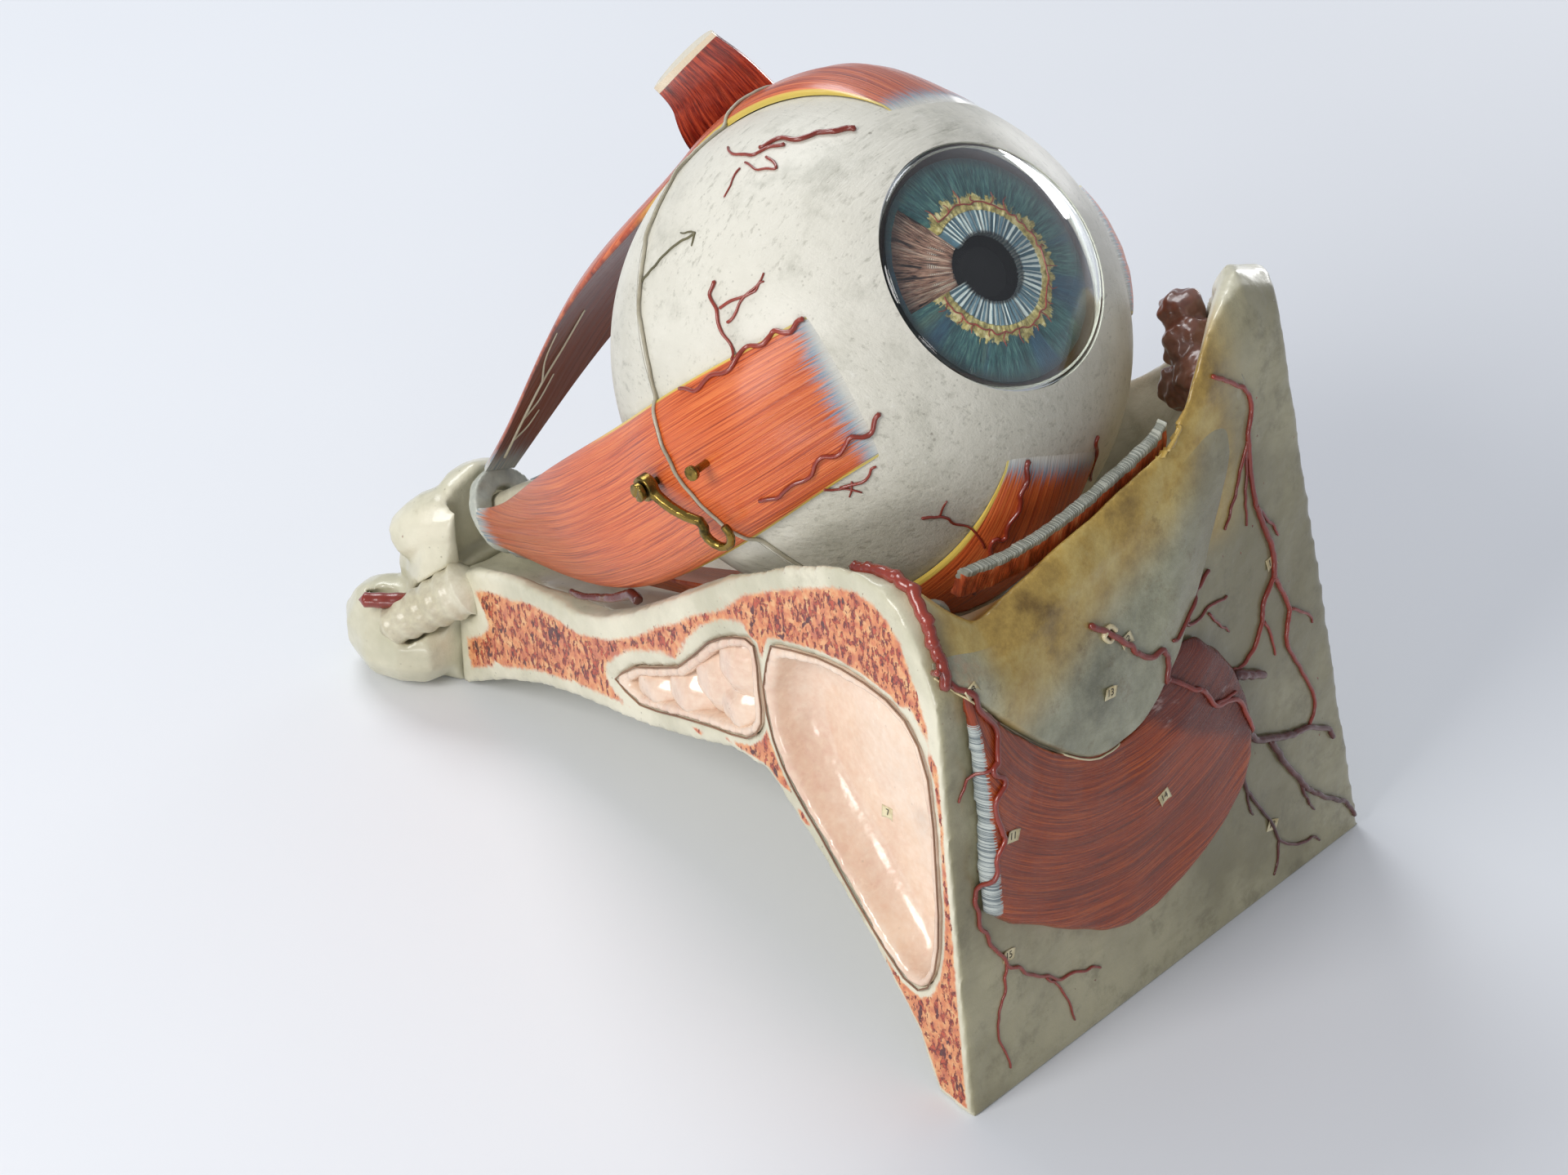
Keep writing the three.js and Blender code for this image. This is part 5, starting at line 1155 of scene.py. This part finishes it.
# Borders on the forehead panel, as (x, z) from the inner side to the temple
FLAP_TOP = [
    (-70, 127), (-56, 122), (-42, 124), (-26, 127), (-8, 131), (6, 136), (16, 143), (26, 150), (40, 152),
]
FLAP_EDGE = [
    (-72.5, 120), (-66, 112), (-55, 100), (-41, 86.6), (-27, 76.6), (-14, 75.4),
    (-5.1, 78.2), (4, 86), (14, 97), (24, 111), (33, 126), (42, 146),
]
MUSCLE_TOP = [(-64, 112), (-58, 101), (-46, 88), (-30, 77), (-15, 73), (-3, 77), (8, 88), (20, 101)]


def on_panel(x, z):
    """Place on the forehead's plane and the way out of it."""
    return np.array([x, forehead_y(z), z]), FOREHEAD_OUT


def skin_flap():
    """Skin that runs out level with the bone along its upper border and ends below in a thick tongue."""
    columns, rows = 300, 110
    bone_tree = surface_of("orbit_bone")
    top, _ = spline(FLAP_TOP, columns)
    low, _ = spline(FLAP_EDGE, columns)
    outer, inner = [], []
    for row in range(rows):
        v = 1 - (1 - row / (rows - 1)) ** 1.6
        for column in range(columns):
            u = column / (columns - 1)
            x, z = top[column] + (low[column] - top[column]) * v
            at, _ = on_panel(x, z)
            hit = topmost(bone_tree, at, FOREHEAD_OUT)
            ground = hit[0] if hit else at
            to_edge = (1 - v) * np.linalg.norm(low[column] - top[column])
            thick = 3.4 * float(smooth(u, 0, 0.12)) * float(1 - smooth(u, 0.62, 0.95))
            rise = -0.4 + (thick + 0.4) * float(smooth(v, 0, 0.75))
            rise += 0.5 * noise.noise(Vector((x * 0.06, z * 0.06, 3))) * float(smooth(v, 0.1, 0.4))
            lip = math.sqrt(max(0.0, 1 - (1 - min(to_edge / 2.0, 1)) ** 2))
            outer.append(ground + FOREHEAD_OUT * (rise * lip - 0.5 * (1 - lip)))
            inner.append(ground - FOREHEAD_OUT * 1.2)
    points, faces = sheet(outer, inner, rows, columns, True)
    mesh_piece("skin_flap", points, faces, "orbit", "skin", "flap", ["brow_flap"], flap_values(points))


skin_flap()


def forehead_muscle():
    """Muscle whose upper border thins out under the flap."""
    points, faces, normals = dense("brow_muscle", 0.7, 10)
    points = points + normals * lumps(points, 18, 0.8, 11)[:, None]
    border = np.array(MUSCLE_TOP, float)
    away = distance_to_edges(points[:, [0, 2]], zip(border, border[1:]))
    panel = np.stack([points[:, 0], forehead_y(points[:, 2]), points[:, 2]], 1)
    height = np.maximum((points - panel) @ FOREHEAD_OUT - 0.8, 0)
    near = 1 - smooth(away, 0, 11)
    points = points - FOREHEAD_OUT * (height * near * 0.7)[:, None] + np.outer(near * 3.2, (0, 0, 1))
    values, hides = brow_muscle_values(points), ["brow_muscle"]
    mesh_piece("forehead_muscle", points, faces, "orbit", "dark_muscle", "brow_muscle", hides, values)


forehead_muscle()
plain_dense("lid_muscle", "lid_edge", "orbit", "tendon", "lid", 0.5, 3, 3, 0.3, lid_values)

# Vessels, wires and paper laid on the finished surfaces

BONE_TREES = surface_of("orbit_bone", "skin_flap", "forehead_muscle")
FRONT_TREES = surface_of("white_front", *(f"{name}_front_strap" for name in RECTI))
RIM_TURN = np.array([0, -46.5, 105.0])
SWAY_LENGTH = 9.0


def over_rim(x, y, z):
    """Place near the rim of the orbit, with the way out turning from forwards to upwards."""
    out = np.array([0, y - RIM_TURN[1], max(z - RIM_TURN[2], 0)])
    return np.array([x, y, z]), out / np.linalg.norm(out)


def on_eye(angle, azimuth):
    """Place on the eyeball and the way out of it."""
    out = on_globe(angle, azimuth) @ GAZE.T
    return CENTRE + out * GLOBE_R, out


def cord(route, place, trees, start_r, end_r,
         wave=0.25, seed=0.0, sink=0.3, spacing=0.8, bulbs=0.0, sway=0.0):
    """Cord along a route of coordinates, thinning towards its end, with an uneven, swaying course."""
    controls = [place(*pair) for pair in route]
    length = sum(np.linalg.norm(a[0] - b[0]) for a, b in zip(controls, controls[1:]))
    steps = max(8, int(length / spacing))
    places, ways = spline([at for at, _ in controls], steps)
    outs, _ = spline([out for _, out in controls], steps)
    outs /= np.linalg.norm(outs, axis=1)[:, None]
    shares = np.linspace(0, 1, steps)
    swing = np.array([noise.noise(Vector((share * length * 0.35, seed, 1))) for share in shares])
    swing = swing * wave * 2 + sway * np.sin(shares * length / SWAY_LENGTH * 2 * math.pi + seed)
    places = places + np.cross(ways, outs) * swing[:, None]
    radii = start_r + (end_r - start_r) * shares
    swell = np.array([noise.noise(Vector((share * length * 0.5, seed, 7))) for share in shares])
    radii = radii * (1 + 0.12 * swell + bulbs * np.maximum(swell, 0))
    return laid(trees, places, outs, radii, sink)


def vessels(name, body, slot, paint, trees, place, routes, hides=(), sway=0.0):
    """One piece of many cords; the thick ones sway more than the thin ones."""
    cords = []
    for i, (start_r, end_r, route) in enumerate(routes):
        swing = sway * min(start_r / 0.6, 1.2)
        cords.append(cord(route, place, trees, start_r, end_r, seed=len(name) + 3.7 * i, sway=swing))
    mesh_piece(name, *joined_tubes(cords), body, slot, paint, hides)


# Each cord: its first and last radius, and its route as (x, z) on the forehead panel
RIGHT_VESSELS = [
    (0.75, 0.8, [(43.2, 112.6), (45.9, 105.3), (48.6, 97.1), (48.7, 90.1)]),
    (0.7, 0.5, [(48.7, 90.1), (43.6, 84.2), (42.9, 79.9), (39.4, 74.5), (34.1, 71.5), (30.8, 71.7)]),
    (0.5, 0.32, [(43.8, 79.4), (46.1, 74.3), (47.4, 68.2)]),
    (0.75, 0.45, [(48.7, 90.1), (50.2, 87.1), (54, 79.2), (52.6, 74.2), (52.5, 68.1), (57.7, 59.1),
                  (61.6, 50.6), (62.6, 45.2), (59.8, 40.3)]),
    (0.5, 0.3, [(54.9, 77.8), (61.5, 73.3), (63.3, 70)]),
    (0.55, 0.35, [(43.2, 112.6), (48.3, 105.8), (51.6, 100.6)]),
    (0.6, 0.7, [(29.6, 153.5), (36.5, 148.8), (41.9, 144.3), (43.1, 139.4), (41.4, 131.3),
                (42.1, 119.9), (43.2, 112.6)]),
    (0.5, 0.35, [(41.4, 131.3), (37.6, 124.1), (34.3, 116.6), (31, 111.4)]),
    (0.45, 0.3, [(41.4, 130.3), (39.7, 118.7), (39.6, 108.6)]),
]
LOW_VESSELS = [
    (1.5, 1.1, [(30.7, 70.6), (36.2, 68.3), (41.7, 65.3)]),
    (1.15, 0.7, [(33.3, 53.8), (37.9, 48.1), (45.6, 45.1), (52.3, 42.4), (58.1, 41.1), (67.3, 36.4),
                 (69.9, 32.6)]),
    (1, 0.6, [(43.5, 45.2), (48.3, 36.3), (54.7, 27.1), (59.2, 21.5), (67, 15.4), (73.9, 9.9),
              (77.5, 4.2)]),
    (0.6, 0.3, [(54.7, 27.1), (57.7, 19.8), (60.9, 14.8)]),
    (0.6, 0.35, [(31.8, 43.3), (32.9, 36.1), (37.4, 28.8), (42.6, 20.3), (44.9, 14.1), (52.3, 8.9),
                 (59.3, 7.1), (62, 4.9)]),
    (0.4, 0.3, [(44.9, 14.1), (44.1, 8.7), (42.4, 4.6)]),
    (0.4, 0.3, [(32.9, 36.1), (33.8, 30.7), (35.2, 26.8)]),
]
BROW_VESSELS = [
    (0.85, 0.7, [(-22.8, 111), (-16.9, 106), (-11.3, 100.7), (-8.6, 97.1), (-4.6, 94), (0.4, 93.6),
                 (1.6, 89.8), (0.8, 84.3)]),
    (0.75, 0.6, [(0.9, 85.4), (3.9, 83.4), (9.8, 78.2), (12.9, 76.6), (17.5, 70.3), (26.1, 67),
                 (29.8, 60.3), (33.3, 53.8)]),
    (0.55, 0.3, [(17.5, 70.3), (22, 69.7), (26.3, 69.2)]),
    (0.6, 0.45, [(23.5, 103.6), (19.3, 101), (15.4, 100), (11.6, 97.2), (6.8, 94.1), (4.3, 94)]),
    (0.5, 0.35, [(11.5, 96.4), (14.4, 92.7), (18.5, 92.3), (21.9, 93.7), (27.4, 93.3), (30, 93.2)]),
    (0.4, 0.3, [(22.4, 92), (26.8, 86.7), (30.1, 83.2)]),
]
LEFT_VESSELS = [
    (0.8, 0.65, [(-74, 123.8), (-70.3, 118.5), (-66.8, 114.9), (-63.9, 109.1), (-59.5, 100.3),
                 (-61.7, 94.8), (-63.4, 92.8), (-60.9, 87.7), (-65.1, 84.2), (-62.7, 76.1),
                 (-64.5, 71.6), (-66.7, 66), (-69.2, 59.9)]),
    (0.5, 0.3, [(-61.7, 94.8), (-67.9, 91.4), (-71.1, 86.9)]),
    (0.55, 0.4, [(-63.1, 108.5), (-59.6, 104.1), (-56.8, 101.5)]),
    (0.65, 0.35, [(-69.2, 59.9), (-68.7, 52.7), (-65.8, 45.3), (-61, 36.6), (-53.7, 29.3),
                  (-42.9, 21.4), (-33.8, 18.6), (-27.7, 16.3)]),
    (0.4, 0.3, [(-61, 36.6), (-62.8, 29.4), (-66, 20.5), (-63.2, 6.8)]),
    (0.4, 0.3, [(-47.3, 23.9), (-41.8, 17.2), (-38.4, 6.6)]),
]
for name, paint, routes, hides, sway in (
        ("temple_artery_wire", "artery", RIGHT_VESSELS, ["temple_artery"], 0.0),
        ("low_vessels", "dark_vessel", LOW_VESSELS, (), 0.0),
        ("brow_artery_wire", "artery", BROW_VESSELS, ["brow_artery"], 0.0),
        ("corner_vessels", "artery", LEFT_VESSELS, (), 0.4)):
    vessels(name, "orbit", "artery", paint, BONE_TREES, on_panel, routes, hides, sway)

RIM_ROUTE = [
    (-66, -56, 137), (-66, -64, 137), (-67, -73, 136), (-69, -82, 133), (-70, -88, 127), (-71, -90, 118),
]
rim_artery = cord(RIM_ROUTE, over_rim, BONE_TREES, 1.7, 1.5, 0.5, bulbs=0.35)
mesh_piece("medial_artery_wire", *rim_artery, "orbit", "artery", "artery", ["medial_artery"])
plain_dense("ledge_artery", "ledge_artery_wire", "orbit", "artery", "dark_vessel", 0.4, 5, 5, 0.3)

under_flap = surface_of("orbit_bone", "forehead_muscle")
flap_line = cord(FLAP_EDGE[:8], on_panel, under_flap, 0.3, 0.25, 0.05, sink=0.2)
mesh_piece("flap_line", *flap_line, "orbit", None, "cream")

# The same, with routes as (angle from the gaze, azimuth) on the eyeball
EYE_VESSELS = {
    "ciliary_wire_1": [
        (0.7, 0.5, [(47.5, 169.5), (52.1, 169.3), (56, 169.5), (61.2, 170.1), (67.5, 172.1),
                    (73.5, 172.3), (79.5, 171.3)]),
        (0.5, 0.4, [(65.6, 151.3), (66.2, 156), (65.2, 163.3), (64.5, 170.5)]),
        (0.4, 0.25, [(64.8, 157.5), (57.7, 157.1), (53.7, 155.3)]),
        (0.4, 0.25, [(63.7, 161.9), (53.4, 153.1)]),
    ],
    "ciliary_wire_2": [
        (0.65, 0.5, [(45.3, -155.9), (50.1, -156), (53.7, -157.5), (58.1, -158.1), (61.9, -159.3),
                     (66.7, -158.3), (71.8, -159.8), (76.4, -160.6)]),
        (0.45, 0.3, [(63.4, -150.3), (57.8, -148), (54.6, -147.9)]),
        (0.3, 0.22, [(60.4, -149.3), (63.8, -147.5)]),
        (0.35, 0.25, [(65.4, -153.3), (63.4, -150.3), (61.4, -146)]),
    ],
    "ciliary_wire_3": [
        (0.7, 0.55, [(44.7, -103.6), (49.3, -105.6), (52.5, -105), (56.5, -106.7), (61, -107),
                     (61.9, -109.7), (67.1, -108.7), (73, -107.7), (77.9, -108.2)]),
        (0.4, 0.3, [(61, -129.1), (58.9, -125.8), (60, -121.7), (60.6, -116.7), (64.3, -111.3)]),
        (0.3, 0.2, [(58.9, -125.8), (55.2, -125.8)]),
        (0.5, 0.4, [(49, -73.6), (54.5, -74.4), (62.2, -74.9)]),
    ],
    "ciliary_wire_4": [
        (0.75, 0.55, [(43.8, 101.9), (48, 103.9), (50.2, 107.8), (54.2, 110.1), (58.6, 111.9),
                      (61.9, 113.8)]),
        (0.5, 0.35, [(56.1, 112.7), (60.9, 115.9), (65.9, 116.8), (71.9, 112.8)]),
        (0.4, 0.3, [(58.1, 117.4), (54.4, 121.6), (58.4, 121.6), (63.4, 119.8)]),
        (0.3, 0.2, [(63.9, 121.1), (65.2, 129.4)]),
    ],
}
for name, routes in EYE_VESSELS.items():
    hides = [name.replace("wire", "artery")]
    vessels(name, "eye_front", "artery", "artery", FRONT_TREES, on_eye, routes, hides, 0.75)

ARROW = [
    (0.3, 0.3, [(88.6, 143.4), (83.7, 141.4), (77, 138.9), (71.1, 137.7)]),
    (0.3, 0.2, [(71.1, 137.5), (73.5, 136.6), (75.8, 136)]),
    (0.3, 0.2, [(71.1, 137.5), (71.3, 139.2), (71.6, 140.6)]),
]
vessels("drawn_arrow", "eye_front", None, "arrow", FRONT_TREES, on_eye, ARROW)
seam_route = [(88.9 - 0.25 * math.sin(a * 0.7), a) for a in range(0, 361, 6)]
seam_wire = cord(seam_route, on_eye, FRONT_TREES, 0.48, 0.48, 0.1, sink=0.1)
mesh_piece("seam_wire", *seam_wire, "eye_front", None, "wire")


def shown_at(tree, column, row):
    """Place on a surface that shows at a point of the photograph's frame."""
    forward = -np.array(camera_away)
    right = np.cross(forward, (0, 0, 1))
    right /= np.linalg.norm(right)
    sideways = right * (column - PICTURE_WIDTH / 2)
    upwards = np.cross(right, forward) * (PICTURE_HEIGHT / 2 - row)
    sight = forward + (sideways + upwards) / FOCAL_PIXELS
    hit, _, _, _ = tree.ray_cast(Vector(CAMERA_PLACE), Vector(sight).normalized())
    return None if hit is None else np.array(hit) - forward * 0.2


# The same, with routes as (column, row) in the photograph's frame
NERVES = [
    (0.45, 0.25, [(618, 560), (640, 515), (664, 468), (690, 425), (716, 380)]),
    (0.32, 0.2, [(640, 515), (660, 490), (678, 458)]),
    (0.32, 0.2, [(664, 468), (668, 440), (682, 408)]),
    (0.3, 0.2, [(628, 540), (646, 522), (660, 502)]),
]


def strap_nerves():
    """Pale branching nerves on the inner face of the uppermost strap, which is painted near-black there as
    shade.
    """
    tree = surface_of("inferior_rectus_rear_strap")[0]
    cords = []
    for start_r, end_r, route in NERVES:
        places = [at for at in (shown_at(tree, *pair) for pair in route) if at is not None]
        if len(places) > 1:
            places, _ = spline(places, 28)
            cords.append(tube(places, np.linspace(start_r, end_r, 28)))
    if cords:
        mesh_piece("strap_nerves", *joined_tubes(cords), "eyeball", "nerve", "nerve")


strap_nerves()
CHIPPED_HOLE = [(-16.9 + 2.2 * math.cos(a), 106 + 1.8 * math.sin(a)) for a in np.linspace(0, 5.6, 9)]
chipped_edge = cord(CHIPPED_HOLE, on_panel, BONE_TREES, 0.75, 0.5, 0.5, bulbs=0.5, spacing=0.5)
mesh_piece("chipped_edge", *chipped_edge, "orbit", None, "cream")


def iris_vessels():
    """Thin wavy circle in the iris with twigs that run outwards from it."""
    trees, out = surface_of("iris_disc"), np.array([0, 0, 1.0]) @ GAZE.T
    circle_r = PUPIL_R + 0.4 * (IRIS_R - PUPIL_R)

    def on_iris(r, turn):
        return from_globe([r * math.cos(turn), r * math.sin(turn), IRIS_PLANE]), out

    spread = random.Random(5)
    start, end = CUT_MIDDLE + CUT_HALF + 2, CUT_MIDDLE - CUT_HALF - 2 + 360
    cords, route = [], []
    for k, degrees in enumerate(np.arange(start, end, 5)):
        turn = math.radians(degrees)
        r = circle_r + spread.uniform(-0.5, 0.5)
        route.append((r, turn))
        if k % 3 == 1:
            length = spread.uniform(1.2, 4.0)
            bend = spread.uniform(-0.06, 0.06)
            twig = [(r, turn), (r + length / 2, turn + bend), (r + length, turn + bend * 0.4)]
            cords.append(cord(twig, on_iris, trees, 0.17, 0.1, 0.1, k, 0.2, 0.4))
    cords.append(cord(route, on_iris, trees, 0.2, 0.2, 0.1, 3, 0.2, 0.6))
    mesh_piece("iris_circle", *joined_tubes(cords), "eye_front", "artery", "artery")


iris_vessels()


def on_section(along, height):
    return SECTION_CORNER + ALONG_SECTION * along + np.array([0, 0, height])


cavity_lines = []
for loop in cut_loops()[:-1]:
    if len(loop) > 8:
        places = [on_section(*at) - INTO_BONE * 0.15 for at in loop + loop[:1]]
        cavity_lines.append(tube(places, np.full(len(places), 0.25)))
mesh_piece("cavity_line", *joined_tubes(cavity_lines), "orbit", None, "line")


# Paper tags with plain numbers

PANEL_TAGS = [
    (-59.3, 73.1), (-11.3, 101.7), (-20, 91.9), (-4.7, 55.2),
    (-59.9, 37.9), (48.1, 94.4), (42.6, 19.9), (-65.9, 114.9),
]
FIRST_NUMBER, SIDE_NUMBER = 11, 7
TAG_WIDE, TAG_HIGH, TAG_THICK = 2.0, 1.55, 0.14


def tag(at, out, number, turned):
    """Curled slip of paper and its number, lying on a surface."""
    up = np.array([0.0, 0, 1]) - out * out[2]
    up /= np.linalg.norm(up)
    right = np.cross(up, out)
    cos, sin = math.cos(turned), math.sin(turned)
    up, right = up * cos + right * sin, right * cos - up * sin
    columns, rows = 9, 7
    top = []
    for v in np.linspace(-1, 1, rows):
        for u in np.linspace(-1, 1, columns):
            rise = 0.22 + 0.5 * abs(u) ** 3 * (0.5 + 0.5 * v * turned / abs(turned))
            top.append(at + right * u * TAG_WIDE + up * v * TAG_HIGH + out * rise)
    paper = sheet(top, np.array(top) - out * TAG_THICK, rows, columns)
    text = bpy.data.curves.new("number", "FONT")
    text.body, text.size, text.extrude = str(number), 2.6, 0.03
    text.align_x, text.align_y = "CENTER", "CENTER"
    holder = bpy.data.objects.new("number", text)
    bpy.context.scene.collection.objects.link(holder)
    bpy.context.view_layer.update()
    flat = bpy.data.meshes.new_from_object(holder)
    places = np.array([v.co for v in flat.vertices])
    places = at + right * places[:, :1] + up * places[:, 1:2] + out * (0.26 + places[:, 2:])
    figures = (places, [tuple(poly.vertices) for poly in flat.polygons])
    bpy.data.objects.remove(holder)
    bpy.data.curves.remove(text)
    bpy.data.meshes.remove(flat)
    return paper, figures


tags = []
for number, place in enumerate(PANEL_TAGS, FIRST_NUMBER):
    at = topmost(BONE_TREES, *on_panel(*place))[0]
    tags.append(tag(at, FOREHEAD_OUT, number, random.uniform(0.08, 0.4) * random.choice((-1, 1))))
tags.append(tag(on_section(34.2, 73.7), -INTO_BONE, SIDE_NUMBER, -0.2))
papers, figures = zip(*tags)
mesh_piece("paper_tags", *joined_tubes(papers), "orbit", None, "paper")
mesh_piece("tag_numbers", *joined_tubes(figures), "orbit", None, "ink")

plain_dense("hook", "clasp_hook", "hook", "brass", "brass", 0.3, 4, 3, 0.05)
plain_dense("hook_screw", "clasp_screw", "eyeball", "brass", "brass", 0.25, 1, 3, 0.0)
plain_dense("hook_pin", "clasp_pin", "eye_front", "brass", "brass", 0.25, 1, 3, 0.0)

# Inner pieces keep their CAD meshes under a painted finish
# The lens is painted near-black: painted shade for the dark inside of the eyeball.
CAD_PAINTS = {
    "choroid_front": "choroid", "choroid_rear": "choroid", "retina": "retina",
    "vitreous_body": "glass", "lens": "smoked_glass", "support_peg": "brass",
}
for node, paint in CAD_PAINTS.items():
    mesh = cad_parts[node].data
    mesh.materials.clear()
    mesh.materials.append(PAINT[paint])
    mesh.set_sharp_from_angle(angle=math.radians(35))


# The floor

FLOOR_HALF = 6.0
floor_mesh = bpy.data.meshes.new("floor")
corners = [(x * FLOOR_HALF, y * FLOOR_HALF, 0) for x, y in ((-1, -1), (1, -1), (1, 1), (-1, 1))]
floor_mesh.from_pydata(corners, [], [(0, 1, 2, 3)])
floor_mesh.materials.append(floor_paint())
floor = bpy.data.objects.new("floor", floor_mesh)
bpy.context.scene.collection.objects.link(floor)
